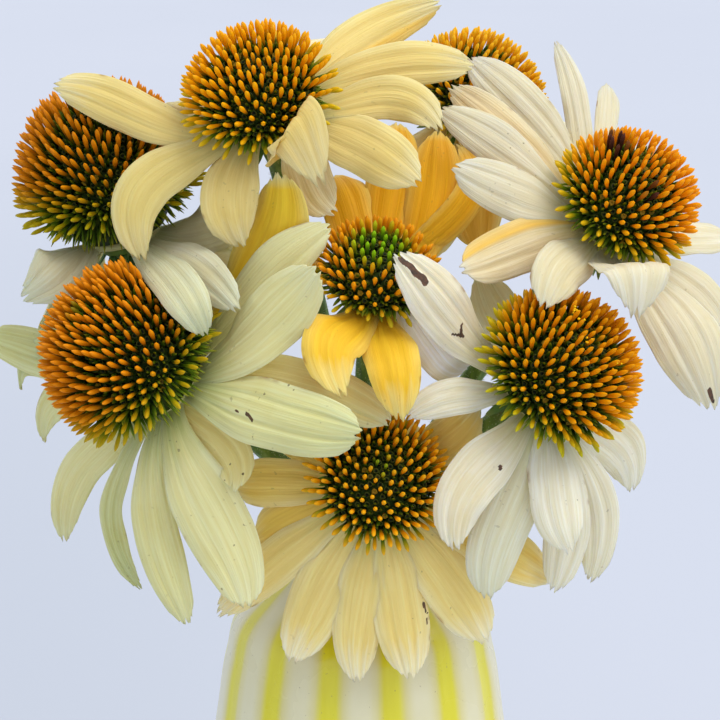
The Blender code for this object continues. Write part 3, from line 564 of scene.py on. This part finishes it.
def head(bloom, tree, material):
    """The spines, the florets and scales between them and the dark dome that they grow from, as one piece."""
    world = own_axes(bloom)[1]
    chance = np.random.default_rng(ord(bloom.name))
    core, waist, crown = cone_shape(bloom)
    count = int(dome_areas(bloom, LOWEST_SPINE)[1][-1] / SPINE_ROOM)
    depth = bloom.radius * (CORE_SHARE - DOME_SHARE)
    build = Build()

    def clear(point, room):
        """Whether the petals leave this much room round the point."""
        return tree.find(world(point))[2] >= room

    def grow(points, faces, polar, **values):
        build.add(world(points), faces, rim=polar / LOWEST_SPINE, seed=chance.uniform(0, 1), **values)

    last = (len(SPINE_LEVELS) - 1) * SPINE_SIDES
    *faces, base, _ = tube_faces(len(SPINE_LEVELS), SPINE_SIDES)
    faces += [(last + j, last + (j + 1) % SPINE_SIDES, last + SPINE_SIDES) for j in range(SPINE_SIDES)] + [base]
    rise, girth = SPINE_LEVELS.T
    sink = depth + SPINE_ROOT
    for seat, _, way, polar in seats(bloom, count):
        young = min(1, 0.45 + polar / math.radians(60))
        length = bloom.radius * SPINE_SHARE * young * chance.uniform(0.93, 1.04)
        way = unit(way + chance.normal(0, 0.06, 3))
        base = seat - way * sink
        # A spine under a petal stays short and green
        for shrink in SHRUNK:
            full = (length + sink) * shrink
            bow = unit(np.array([0, 0, 1]) - way * way[2] + 1e-6) * 0.07 * full
            tests = [base + bow * share * share + way * full * share for share in (0.35, 0.55, 0.78, 1)]
            if all(clear(point, SPINE_CLEAR) for point in tests):
                break
        else:
            continue
        tip = base + way * full
        wide = SPINE_GIRTH * (0.75 + 0.25 * young) * chance.uniform(0.92, 1.08)
        middles = base + np.outer(rise, way * full) + np.outer(rise * rise, bow)
        rings = ring_points(middles, np.tile(girth[:, None] * wide, SPINE_SIDES), *square_on(way))
        spot = world(tip) - MIDDLE
        across, up, near = spot @ ACROSS, spot @ UP, spot @ NEAR
        spent = [smooth(1.3, 0.8, math.hypot(across - u, up - v) / r) for u, v, r in SPENT.get(bloom.name, [])]
        grow(
            np.vstack([rings, base + way * full * 1.02 + bow]), faces, polar, kind=SPINE, burnt=max(spent, default=0),
            rise=np.append(np.repeat(rise, SPINE_SIDES), 1) * (0.4 + 0.6 * shrink),
        )
        if near > bloom.hub[2] and any(math.hypot(across - u, up - v) < 1.3 for u, v in POLLEN.get(bloom.name, [])):
            for _ in range(5):
                centre = tip - way * chance.uniform(0.2, 1.6) + chance.normal(0, 0.45, 3)
                crumb(build, world(centre), chance.uniform(0.25, 0.42), chance)

    faces = tube_faces(len(FLORET), FLORET_SIDES)
    girth, height, rise = FLORET.T
    lobes = girth[:, None] * (1 + np.outer(height > 1, [-0.1, 0.14] * 3))
    for seat, normal, _, polar in seats(bloom, count, shift=-1.35 / core):
        if polar < 0.02:
            continue
        middle = seat + normal * (chance.uniform(-0.1, 0.5) - depth - 0.5)
        if clear(middle + normal * 1.2, FLORET_CLEAR):
            rings = ring_points(middle + np.outer(height, normal), lobes, *square_on(normal))
            grow(rings, faces, polar, kind=FLORET_CUP, rise=np.repeat(rise, FLORET_SIDES))

    # Short green scales fill the gaps between them, and longer ones hang below the lowest spines
    faces = tube_faces(len(SCALE_LEVELS), SCALE_SIDES)
    rise, girth = SCALE_LEVELS.T
    sink = depth + SCALE_ROOT
    for seat, normal, way, polar in seats(bloom, int(count * SCALES_EACH), shift=0.9 / core, lowest=LOWEST_SCALE):
        way = unit(way + chance.normal(0, 0.14, 3))
        base = seat - normal * sink
        share = 0.24 + 0.45 * smooth(95, 112, math.degrees(polar))
        full = (sink + bloom.radius * SPINE_SHARE * share) * chance.uniform(0.58, 0.95)
        if not clear(base + way * full, SCALE_CLEAR):
            full *= 0.6
            if not clear(base + way * full, SCALE_CLEAR):
                continue
        side, other = square_on(way)
        radii = np.tile(girth[:, None], SCALE_SIDES)
        rings = ring_points(base + np.outer(rise, way * full), radii, side * 1.3, other * 0.7)
        grow(rings, faces, polar, kind=SCALE, rise=np.repeat(rise, SCALE_SIDES))

    inner = core - depth
    profile = [(0, HUB_REST), (bloom.radius * (HUB_SHARE + 0.05), HUB_REST), (inner * 0.93, waist * 0.55)]
    for polar in np.radians(np.linspace(90, 0, 25)):
        profile.append((inner * math.sin(polar), waist + (crown - depth) * math.cos(polar)))
    lathe(build, profile, 64, world, kind=DOME, rim=0.5)
    build.piece(f"{bloom.name}_head", f"bloom_{bloom.name}_cone", material)


# ---- Stems ----


def ring_place(seat, radius, height, turn):
    """A place in the ring of stems at this height, or in its middle for seat -1."""
    if seat < 0:
        return np.array([0, 0, height])
    angle = -math.pi / 2 + seat * 2 * math.pi / 7 + turn
    return np.array([radius * math.cos(angle), radius * math.sin(angle), height])


def stem_route(bloom):
    """The stem's midline, from the vase's floor up to the back of the head."""
    axis = unit(direction(*bloom.facing))
    top = place(*bloom.hub) - axis * (HUB_REST + 5)
    foot = ring_place(bloom.seat, FLOOR_RING, VASE_FLOOR + GAP + 0.2, FLOOR_TURN)
    neck = ring_place(bloom.seat, NECK_RING, NECK_HEIGHT, 0)
    span = np.linalg.norm(top - neck)
    upper = (neck, neck + unit(neck - foot) * span * 0.35, top - axis * span * 0.4, top)
    lower = [foot + (neck - foot) * share for share in np.linspace(0, 0.96, 16)]
    return np.array(lower + [bezier(upper, share) for share in np.linspace(0, 1, 44)])


def stem_tube(build, route, seed):
    """A ribbed tube along the route with closed ends; gives back a point and three directions at each ring."""
    slopes = unit(np.gradient(route, axis=0))
    side, _ = square_on(slopes[0], (0.3, 1, 0.1))
    angles = np.arange(STEM_SIDES) * 2 * math.pi / STEM_SIDES
    points, frames = [], []
    for index, (point, slope) in enumerate(zip(route, slopes)):
        side = unit(side - slope * (side @ slope))
        other = np.cross(slope, side)
        frames.append((point, slope, side, other))
        rib = STEM_RADIUS * (0.94 + 0.05 * np.cos(angles * 9) + 0.015 * math.sin(index * 0.9))
        points.append(ring_points(point[None], rib[None], side, other))
    rows = len(route)
    foot, top, last = rows * STEM_SIDES, rows * STEM_SIDES + 1, (rows - 1) * STEM_SIDES
    faces = grid_faces(rows, STEM_SIDES, wrap=True)
    faces += [(foot, (j + 1) % STEM_SIDES, j) for j in range(STEM_SIDES)]
    faces += [(top, last + j, last + (j + 1) % STEM_SIDES) for j in range(STEM_SIDES)]
    rise = np.concatenate([np.repeat(np.linspace(0, 1, rows), STEM_SIDES), [0, 1]])
    build.add(np.concatenate(points + [route[:1], route[-1:]]), faces, rise=rise, kind=STALK, seed=seed)
    return frames


def bract(build, base, way, face, length, seed):
    """A small lance-shaped bract with a fold along its middle, which curls outward."""
    rows, columns = 9, 5
    across = unit(np.cross(way, face))
    face = np.cross(across, way)
    t = np.linspace(0, 1, rows)[:, None, None]
    s = np.linspace(-1, 1, columns)[None, :, None]
    lance = np.where(t < 1, np.sin(math.pi * np.minimum(1, 0.22 + 0.78 * t) ** 0.9) ** 0.8, 0.03)
    half = BRACT_WIDTH / 2 * lance + 0.04
    curl = 0.16 * length * t * t * (1 + 0.3 * math.sin(seed))
    middle = base + way * length * t + across * s * half + face * (curl + 0.22 * np.abs(s) * half)
    thick = face * 0.24 * (1 - 0.6 * np.abs(s)) * (1 - 0.5 * t)
    rise = np.tile(np.repeat(t.ravel(), columns), 2)
    faces = turned_over(sheet_faces(rows, columns))
    build.add(np.stack([middle + thick, middle - thick]), faces, rise=rise, seed=seed % 1, kind=BRACT)


def stem(bloom, material):
    """The stem with its receptacle, three rings of bracts and short stiff hairs."""
    chance = np.random.default_rng(ord(bloom.name) + 50)
    turn, world = own_axes(bloom)
    build = Build()
    frames = stem_tube(build, stem_route(bloom), ord(bloom.name) * 0.13 % 1)
    edge = bloom.radius * HUB_SHARE * 0.7
    flare = STEM_RADIUS * 1.35
    profile = [(0, -8), (STEM_RADIUS * 0.9, -8), (STEM_RADIUS * 1.1, -6.5), (flare, -4.4), ((flare + edge) / 2, -2.5)]
    profile += [(edge * 0.98, -1.3), (edge, -0.6), (edge * 0.96, 0), (0, 0)]
    lathe(build, [(r, h - HUB_REST) for r, h in profile], 36, world, kind=RECEPTACLE, rise=0.9)
    for ring, (count, share, low, size, out) in enumerate(BRACT_RINGS):
        for k in range(count):
            a = 2 * math.pi * (k + ring * 0.5) / count + chance.normal(0, 0.06)
            flat = np.array([math.cos(a), math.sin(a), 0])
            way = unit(flat * (out + 0.1) - (0, 0, 1) + chance.normal(0, 0.05, 3))
            base = flat * bloom.radius * HUB_SHARE * share - (0, 0, HUB_REST + low)
            face = unit(flat + (0, 0, 0.3))
            bract(build, world(base), way @ turn.T, face @ turn.T, size * chance.uniform(0.8, 1.05), k + ring * 3.3)
    hairs, faces = [], []
    for first in range(0, 4 * HAIRS, 4):
        point, slope, side, other = frames[int(chance.uniform(18, len(frames) - 1))]
        a = chance.uniform(0, 2 * math.pi)
        out = side * math.cos(a) + other * math.sin(a)
        root = point + out * STEM_RADIUS * 0.93 + slope * chance.uniform(-1, 1)
        tip = root + unit(out + slope * chance.uniform(0.1, 0.7)) * chance.uniform(0.5, 1)
        wide = np.cross(slope, out) * 0.05
        hairs += [root + wide, root - wide * 0.5 + slope * 0.05, root - wide * 0.5 - slope * 0.05, tip]
        faces += [tuple(first + k for k in face) for face in ((0, 1, 3), (1, 2, 3), (2, 0, 3), (0, 2, 1))]
    build.add(hairs, faces, rise=np.tile([0, 0, 0, 1], HAIRS), kind=HAIR)
    build.piece(f"{bloom.name}_stem", f"bloom_{bloom.name}_stem", material)


# ---- Vase ----


def vase(material):
    """The glazed vase with its soft flutes, one to each stripe, its rolled rim and its foot."""
    radii, heights = np.array(VASE_OUTLINE, float).T
    top = heights[-1]
    # A smooth line through the outline's points
    slopes = np.gradient(radii, heights)
    outer = []
    for height in np.concatenate([np.linspace(0, 2, 4), np.linspace(3.5, top, 110)]):
        k = min(len(heights) - 2, max(0, int(np.searchsorted(heights, height)) - 1))
        span = heights[k + 1] - heights[k]
        u = (height - heights[k]) / span
        value = (2 * u**3 - 3 * u**2 + 1) * radii[k] + (u**3 - 2 * u**2 + u) * span * slopes[k]
        value += (3 * u**2 - 2 * u**3) * radii[k + 1] + (u**3 - u**2) * span * slopes[k + 1]
        outer.append((value, height))
    wall = VASE_WALL / 2
    round_rim = np.arange(1, 8) * math.pi / 8
    rim = [(radii[-1] - wall + math.cos(a) * wall, top + math.sin(a) * RIM_ROUNDING) for a in round_rim]
    outline, levels = np.array(outer).T
    inner = [(float(np.interp(h, levels, outline)) - VASE_WALL, h) for h in np.linspace(top, 12, 60)]
    profile = [(0, 0)] + outer + rim + inner + [(inner[-1][0] - 4, VASE_FLOOR), (0, VASE_FLOOR)]

    def swell(angles, height):
        depth = 0.011 * smooth(6, 30, height) * (1 - smooth(118, 132, height))
        flutes = (0.5 + 0.5 * np.cos((angles - STRIPE_TURN) * STRIPES)) ** 3
        return 1 - depth * flutes + 0.0015 * np.sin(angles * 3 + height * 0.06)

    outside = np.zeros(len(profile))
    outside[1 : len(outer) + 3] = 1
    build = Build()
    lathe(build, profile, VASE_SIDES, lambda points: points, swell, outside=np.repeat(outside, VASE_SIDES))
    build.piece("striped_vase", "vase", material)


# ---- Materials ----


def linear(colour):
    """A colour given from 0 to 255, as a screen shows it, in linear light; one with four values is so already."""
    if len(colour) == 4:
        return colour
    shares = [value / 255 for value in colour]
    return (*[v / 12.92 if v <= 0.04045 else ((v + 0.055) / 1.055) ** 2.4 for v in shares], 1)


class Shade:
    """A material whose nodes are made one after the other."""

    def __init__(self, name):
        self.material = bpy.data.materials.new(name)
        self.material.use_nodes = True
        self.tree = self.material.node_tree
        self.shader = self.tree.nodes["Principled BSDF"]
        self.where = self.node("ShaderNodeTexCoord").outputs["Object"]

    def node(self, kind, *inputs, **settings):
        """A new node with its settings and its first inputs."""
        made = self.tree.nodes.new(kind)
        for key, value in settings.items():
            setattr(made, key, value)
        for socket, value in zip(made.inputs, inputs):
            self.put(socket, value)
        return made

    def put(self, socket, value):
        if isinstance(value, bpy.types.NodeSocket):
            self.tree.links.new(value, socket)
        else:
            socket.default_value = linear(value) if socket.type == "RGBA" else value

    def attribute(self, name):
        return self.node("ShaderNodeAttribute", attribute_name=name).outputs["Fac"]

    def math(self, operation, a, b=0, clamp=False):
        return self.node("ShaderNodeMath", a, b, operation=operation, use_clamp=clamp).outputs[0]

    def times(self, a, b):
        return self.math("MULTIPLY", a, b)

    def plus(self, a, b):
        return self.math("ADD", a, b)

    def minus(self, a, b):
        return self.math("SUBTRACT", a, b)

    def swing(self, value, share):
        """A value from 0 to 1 as a shift to either side of nothing."""
        return self.times(self.minus(value, 0.5), share)

    def mix(self, share, a, b, blend="MIX"):
        made = self.node("ShaderNodeMix", share, data_type="RGBA", blend_type=blend)
        self.put(made.inputs[6], a)
        self.put(made.inputs[7], b)
        return made.outputs[2]

    def mix_value(self, share, a, b):
        made = self.node("ShaderNodeMix", share, data_type="FLOAT")
        self.put(made.inputs[2], a)
        self.put(made.inputs[3], b)
        return made.outputs[0]

    def cover(self, skin, mask, share, paint):
        """The skin with this share of paint over it where the mask is."""
        return self.mix(self.times(mask, share), skin, paint)

    def tint(self, skin, mask, share, tint):
        """The skin multiplied by the tint, by this share, where the mask is."""
        return self.cover(skin, mask, share, self.mix(1, skin, (*tint, 1), "MULTIPLY"))

    def ramp(self, share, *stops):
        made = self.node("ShaderNodeValToRGB", share)
        elements = made.color_ramp.elements
        while len(elements) < len(stops):
            elements.new(0.5)
        for element, (position, value) in zip(elements, stops):
            element.position = position
            element.color = linear(value)
        return made.outputs[0]

    def step(self, value, low, high):
        """0 at low and 1 at high, smoothly; low may be the greater."""
        return self.node("ShaderNodeMapRange", value, low, high, interpolation_type="SMOOTHSTEP").outputs[0]

    def vector(self, x, y, z):
        return self.node("ShaderNodeCombineXYZ", x, y, z).outputs[0]

    def noise(self, scale, detail=3, rough=0.55, where=None):
        made = self.node("ShaderNodeTexNoise", self.where if where is None else where)
        for key, value in (("Scale", scale), ("Detail", detail), ("Roughness", rough)):
            made.inputs[key].default_value = value
        return made.outputs[0]

    def bump(self, height, distance, strength=1, under=None):
        made = self.node("ShaderNodeBump")
        values = {"Strength": strength, "Distance": distance, "Height": height}
        if under is not None:
            values["Normal"] = under
        for key, value in values.items():
            self.put(made.inputs[key], value)
        return made.outputs[0]

    def set(self, **values):
        for key, value in values.items():
            self.put(self.shader.inputs[key.replace("_", " ")], value)


def petal_material(name, root, body, tip, under, gold):
    """Petal skin: colour along the petal, long veins with painted highlights on their ridges, mottling, specks, worn
    edges and painted marks.
    """
    s = Shade(name)
    along, aside, seed, band, mark = map(s.attribute, ("along", "aside", "seed", "band", "mark"))
    off = s.math("ABSOLUTE", aside)

    def strands(across, length, shuffle, scale, detail, rough):
        """Noise drawn out along the petal, and different on each one."""
        where = s.vector(s.times(aside, across), s.times(along, length), s.times(seed, shuffle))
        return s.noise(scale, detail, rough, where)

    flow = strands(2.2, 1.3, 40, 2.4, 4, 0.55)
    streak = strands(10, 1.8, 90, 1, 4, 0.6)
    fine = strands(34, 2.4, 70, 1, 3, 0.6)
    top = s.ramp(s.plus(along, s.swing(flow, 0.35)), (0.02, root), (0.34, body), (0.78, body), (0.98, tip))
    skin = s.mix(s.attribute("under"), top, under)
    skin = s.mix(s.attribute("green"), skin, s.ramp(along, (0, (200, 210, 150)), (1, (150, 178, 88))))
    skin = s.mix(s.attribute("gold"), skin, s.ramp(along, (0, gold), (0.92, gold), (1, tip)))
    skin = s.mix(s.attribute("pale"), skin, (250, 249, 244))
    banded = s.step(s.times(aside, s.math("SIGN", band)), 0.35, 0.6)
    skin = s.mix(s.times(banded, s.math("ABSOLUTE", band)), skin, gold)
    # Paler towards the edges, with dark veins and painted highlights along the raised streaks
    skin = s.cover(skin, s.step(off, 0.45, 1), 0.35, tip)
    skin = s.tint(skin, s.minus(1, s.step(streak, 0.36, 0.66)), 0.36, (0.84, 0.74, 0.46))
    # Painted highlight: the raised streaks are lightened as if lit
    skin = s.tint(skin, s.step(streak, 0.5, 0.72), 0.4, (1.1, 1.12, 1.2))
    skin = s.tint(skin, s.step(fine, 0.5, 0.36), 0.12, (0.78, 0.74, 0.55))
    skin = s.tint(skin, s.step(flow, 0.52, 0.75), 0.28, (1.1, 1.12, 1.22))
    skin = s.tint(skin, s.step(s.noise(90), 0.5, 0.72), 0.22, (0.88, 0.8, 0.52))
    # Thin pale rim, lightened as painted light along the thin edge, browned here and there
    skin = s.tint(skin, s.step(off, 0.93, 1), 0.45, (1.12, 1.12, 1.15))
    worn = s.times(s.step(off, 0.86, 1), s.step(s.noise(160, 2), 0.6, 0.72))
    skin = s.cover(skin, worn, 0.7, (146, 98, 56))
    ends = s.times(s.step(along, 0.955, 1), s.step(s.noise(240, 2), 0.45, 0.7))
    skin = s.cover(skin, ends, 0.35, (160, 120, 70))
    # Specks in patches, and the marks with their ragged edges
    specks = s.times(s.step(s.noise(900, 1, 0.4), 0.71, 0.76), s.step(s.noise(130, 2), 0.48, 0.62))
    amount = s.math("MULTIPLY", s.times(specks, s.attribute("spots")), 1.1, clamp=True)
    skin = s.mix(amount, skin, (112, 98, 56))
    ragged = s.step(s.plus(mark, s.swing(s.noise(700), 0.6)), 0.35, 0.6)
    skin = s.cover(skin, ragged, 0.95, s.ramp(s.noise(1100), (0.3, (38, 24, 18)), (0.7, (112, 66, 38))))
    s.set(Base_Color=skin, Roughness=s.plus(0.5, s.times(flow, 0.16)))
    s.set(Subsurface_Weight=0.28, Subsurface_Radius=(0.9, 0.7, 0.35), Subsurface_Scale=0.0012)
    s.set(Specular_IOR_Level=0.28, Sheen_Weight=0.03, Sheen_Roughness=0.4)
    ridges = s.bump(fine, 0.00008, 0.5, under=s.bump(streak, 0.0004, 0.75))
    ridges = s.bump(s.noise(2600, 2), 0.00004, 0.5, under=ridges)
    s.set(Normal=s.bump(mark, 0.0002, -0.6, under=ridges))
    return s.material


def head_material(name, middle, upper, tip, young_tip, heart=(220, 150, 20), heart_size=0.05):
    """Spines that turn from dark green at the root to orange at the point, florets, scales and the dark dome."""
    s = Shade(name)
    rise, rim, seed, kind = map(s.attribute, ("rise", "rim", "seed", "kind"))
    up = s.plus(rise, s.swing(seed, 0.14))
    old = s.ramp(up, (0.3, (30, 50, 4)), (0.48, middle), (0.63, upper), (0.9, tip))
    low = s.ramp(up, (0.28, (30, 54, 4)), (0.5, (98, 126, 10)), (0.7, (190, 170, 18)), (0.94, young_tip))
    spine = s.mix(s.step(rim, 0.66, 0.92), old, low)
    green = s.ramp(up, (0.1, (24, 40, 8)), (0.5, (80, 125, 20)), (0.9, heart))
    spine = s.mix(s.step(rim, heart_size, heart_size * 0.45), spine, green)
    spine = s.tint(spine, seed, 0.22, (0.78, 0.66, 0.5))
    grain = s.noise(1400)
    spine = s.tint(spine, s.step(grain, 0.45, 0.7), 0.25, (1.25, 1.15, 0.9))
    floret = s.ramp(up, (0.2, (14, 22, 4)), (0.6, (34, 44, 10)), (0.95, (84, 92, 26)))
    floret = s.mix(s.step(seed, 0.86, 0.9), floret, (150, 120, 24))
    dome = s.ramp(s.noise(600), (0.3, (22, 40, 2)), (0.7, (58, 80, 8)))
    scale = s.ramp(up, (0.25, (22, 42, 3)), (0.7, (66, 96, 8)), (1, (126, 126, 12)))
    lowest = s.ramp(up, (0.2, (34, 62, 8)), (0.7, (104, 132, 20)), (1, (176, 172, 40)))
    scale = s.mix(s.step(rim, 0.6, 0.95), scale, lowest)
    # Each kind of point takes its own skin
    skin = s.mix(s.step(kind, 0.15, 0.25), dome, scale)
    skin = s.mix(s.step(kind, 0.4, 0.45), skin, floret)
    skin = s.mix(s.step(kind, 0.7, 0.8), skin, spine)
    skin = s.mix(s.attribute("burnt"), skin, s.ramp(up, (0.4, (30, 22, 16)), (1, (84, 44, 30))))
    skin = s.mix(s.step(kind, 1.1, 1.2), skin, (252, 196, 12))
    s.set(Base_Color=skin, Roughness=s.minus(0.58, s.times(rise, 0.2)), Specular_IOR_Level=0.13)
    s.set(Subsurface_Weight=0.08, Subsurface_Radius=(0.9, 0.45, 0.1), Subsurface_Scale=0.0006)
    s.set(Normal=s.bump(grain, 0.00008, 0.6))
    return s.material


def stem_material():
    """Green stem with darker fibres, brown patches and pale hairs, and brighter bracts."""
    s = Shade("stem_skin")
    rise, kind = s.attribute("rise"), s.attribute("kind")
    long = s.node("ShaderNodeMapping", s.where)
    long.inputs["Scale"].default_value = (700, 700, 60)
    fibre = s.noise(1, 4, where=long.outputs[0])
    stalk = s.ramp(fibre, (0.3, (70, 104, 36)), (0.55, (104, 138, 52)), (0.75, (138, 160, 78)))
    stalk = s.cover(stalk, s.step(s.noise(45), 0.52, 0.7), 0.4, (112, 84, 58))
    bract = s.ramp(rise, (0, (58, 96, 40)), (0.55, (86, 130, 56)), (1, (140, 158, 84)))
    skin = s.mix(s.step(kind, 0.75, 0.9), stalk, bract)
    skin = s.mix(s.times(s.step(kind, 0.5, 0.55), s.step(kind, 0.7, 0.65)), skin, (206, 210, 170))
    s.set(Base_Color=skin, Roughness=s.plus(0.48, s.times(fibre, 0.2)))
    s.set(Subsurface_Weight=0.08, Subsurface_Radius=(0.6, 0.9, 0.3), Subsurface_Scale=0.0008)
    s.set(Normal=s.bump(fibre, 0.00012, 0.7))
    return s.material


def vase_material():
    """Pale glaze with soft-edged yellow stripes that run up the flutes, and a bare clay foot."""
    s = Shade("vase_glaze")
    x, y, height = s.node("ShaderNodeSeparateXYZ", s.where).outputs
    angle = s.math("ARCTAN2", y, x)
    waver = s.swing(s.noise(26, where=s.vector(0, s.times(angle, 0.6), height)), 0.05)
    turn = s.plus(s.math("DIVIDE", s.minus(angle, STRIPE_TURN), 2 * math.pi / STRIPES), waver)
    # From 0 in the middle of a stripe to 0.5 halfway to the next one
    gap = s.math("ABSOLUTE", s.minus(s.math("FRACT", s.plus(turn, 20.5)), 0.5))
    pool = s.noise(38, 4)
    body = s.ramp(pool, (0.3, (226, 218, 168)), (0.55, (232, 226, 184)), (0.8, (238, 233, 200)))
    wash = s.noise(3, 4, where=s.vector(turn, s.times(height, 9), 0))
    skin = s.cover(body, s.step(gap, 0.42, 0.14), 0.7, (222, 210, 104))
    skin = s.mix(s.step(gap, 0.235, 0.1), skin, s.ramp(wash, (0.3, (224, 214, 14)), (0.7, (236, 228, 52))))
    skin = s.mix(s.attribute("outside"), body, skin)
    bare = s.step(s.plus(height, s.times(pool, 0.0012)), 0.003, 0.0022)
    skin = s.mix(bare, skin, s.ramp(s.noise(900), (0.3, (168, 140, 110)), (0.7, (196, 172, 142))))
    pits = s.step(s.noise(1500, 1), 0.74, 0.8)
    skin = s.cover(skin, pits, 0.5, (150, 132, 96))
    s.set(Base_Color=skin, Roughness=s.mix_value(bare, s.plus(0.2, s.times(pool, 0.16)), 0.85))
    s.set(Specular_IOR_Level=0.5, Coat_Weight=0.35, Coat_Roughness=0.12)
    s.set(Normal=s.bump(s.plus(pool, s.times(pits, -0.6)), 0.0006, 0.35))
    return s.material


def water_material():
    """Still water, very slightly green from the cut stems."""
    s = Shade("water")
    s.set(Base_Color=s.ramp(s.noise(30, 2), (0.3, (222, 234, 226)), (0.7, (236, 242, 236))))
    s.set(Roughness=s.plus(0.02, s.times(s.noise(50, 2), 0.03)), Transmission_Weight=0.92, IOR=1.333)
    s.set(Normal=s.bump(s.noise(60, 2), 0.0004, 0.2))
    return s.material


# ---- The bouquet ----

PETALS = {
    # slot: root, body, tip, underside, gold
    "yellow_cream_petal": ((208, 202, 128), (237, 213, 130), (238, 224, 168), (220, 186, 86), (242, 190, 44)),
    "green_cream_petal": ((200, 206, 142), (228, 223, 184), (224, 227, 192), (210, 206, 146), (230, 186, 66)),
    "pale_green_petal": ((190, 200, 116), (238, 232, 168), (230, 229, 178), (236, 220, 136), (255, 214, 52)),
    "golden_petal": ((236, 182, 20), (248, 197, 38), (254, 228, 140), (250, 180, 8), (252, 186, 6)),
    "cream_petal": ((216, 212, 142), (236, 228, 182), (238, 234, 204), (230, 200, 106), (242, 192, 40)),
    "ivory_petal": ((214, 206, 134), (230, 222, 190), (228, 224, 200), (234, 194, 96), (250, 198, 56)),
    "white_cream_petal": ((216, 216, 150), (246, 240, 214), (242, 239, 216), (232, 212, 142), (246, 194, 46)),
    "peach_cream_petal": ((224, 214, 134), (255, 228, 142), (252, 242, 204), (250, 214, 110), (252, 208, 54)),
}
HEADS = {
    # lower, upper, tip, tip at the rim, green heart, how far it reaches
    "a": ((196, 142, 4), (255, 168, 4), (255, 182, 10), (236, 196, 14), (220, 160, 20), 0.05),
    "b": ((96, 82, 2), (190, 118, 3), (228, 142, 12), (192, 178, 20)),
    "c": ((96, 74, 3), (200, 120, 3), (242, 150, 10), (200, 170, 20), (150, 130, 14), 0.09),
    "d": ((164, 122, 6), (242, 154, 8), (255, 170, 16), (204, 186, 30), (150, 204, 20), 0.42),
    "e": ((224, 160, 8), (255, 174, 8), (255, 196, 30), (236, 198, 40)),
    "f": ((182, 118, 3), (255, 154, 3), (255, 168, 8), (232, 192, 20)),
    "g": ((128, 102, 2), (240, 150, 2), (248, 168, 6), (206, 196, 22)),
    "h": ((180, 138, 8), (254, 162, 6), (255, 184, 22), (244, 184, 24), (150, 176, 30), 0.14),
}

cloud = []
seed = 0
for bloom in BLOOMS:
    build = Build()
    for ray in bloom.rays:
        seed += 1
        petal(build, bloom, ray, seed, cloud)
    hub_ring(build, bloom)
    skin = petal_material(f"{bloom.slot}s", *PETALS[bloom.slot])
    build.piece(f"{bloom.name}_petals", f"bloom_{bloom.name}_rays", skin)
cloud = np.concatenate(cloud)
tree = KDTree(len(cloud))
for index, point in enumerate(cloud):
    tree.insert(point, index)
tree.balance()

green = stem_material()
for bloom in BLOOMS:
    head(bloom, tree, head_material(f"{bloom.name}_head_spines", *HEADS[bloom.name]))
    stem(bloom, green)
vase(vase_material())
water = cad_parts["water"]
water.data.materials.clear()
water.data.materials.append(water_material())

# ---- Floor, light and camera, in metres ----

FLOOR_HALF, FLOOR_DROP = 30, -0.0002
BACKGROUND = (219, 224, 239)

corners = [(FLOOR_HALF * x, FLOOR_HALF * y, FLOOR_DROP) for x, y in ((-1, -1), (1, -1), (1, 1), (-1, 1))]
floor_mesh = bpy.data.meshes.new("floor")
floor_mesh.from_pydata(corners, [], [(0, 1, 2, 3)])
floor = bpy.data.objects.new("floor", floor_mesh)
bpy.context.scene.collection.objects.link(floor)
f = Shade("floor")
x, y, _ = f.node("ShaderNodeSeparateXYZ", f.where).outputs
paper = f.ramp(f.noise(3, 2), (0.3, (0.556, 0.583, 0.63, 1)), (0.7, (0.564, 0.59, 0.636, 1)))
# Painted shade: the floor is a little darker near the vase and to its left
painted_shade = f.times(f.step(y, 2, 0.25), f.step(x, 0.12, -0.14))
f.set(Base_Color=f.mix(painted_shade, paper, (0.5, 0.532, 0.575, 1)), Roughness=0.9, Specular_IOR_Level=0.1)
floor_mesh.materials.append(f.material)

world = bpy.data.worlds.new("studio")
bpy.context.scene.world = world
world.use_nodes = True
background = world.node_tree.nodes["Background"]
background.inputs["Color"].default_value = linear(BACKGROUND)
background.inputs["Strength"].default_value = 1.08

# A wide soft light from far away
lamp = bpy.data.lights.new("key", "SUN")
lamp.energy = 1.75
lamp.angle = math.radians(50)
lamp.color = (1, 0.98, 0.94)
key = bpy.data.objects.new("key", lamp)
key.rotation_mode = "QUATERNION"
key.rotation_quaternion = Vector((-0.55, 0.3, -1)).to_track_quat("-Z", "Y")
bpy.context.scene.collection.objects.link(key)

lens = bpy.data.cameras.new("camera")
lens.sensor_width = SENSOR_WIDTH
lens.lens = SENSOR_WIDTH * CAMERA_DISTANCE / FRAME_WIDTH
lens.clip_start, lens.clip_end = 0.01, 100
camera = bpy.data.objects.new("camera", lens)
basis = Matrix(np.stack([ACROSS, UP, NEAR], 1).tolist()).to_4x4()
camera.matrix_world = Matrix.Translation(Vector((MIDDLE + NEAR * CAMERA_DISTANCE) * MM)) @ basis
bpy.context.scene.collection.objects.link(camera)
bpy.context.scene.camera = camera
bpy.context.scene.view_settings.view_transform = "Standard"

bpy.context.view_layer.update()
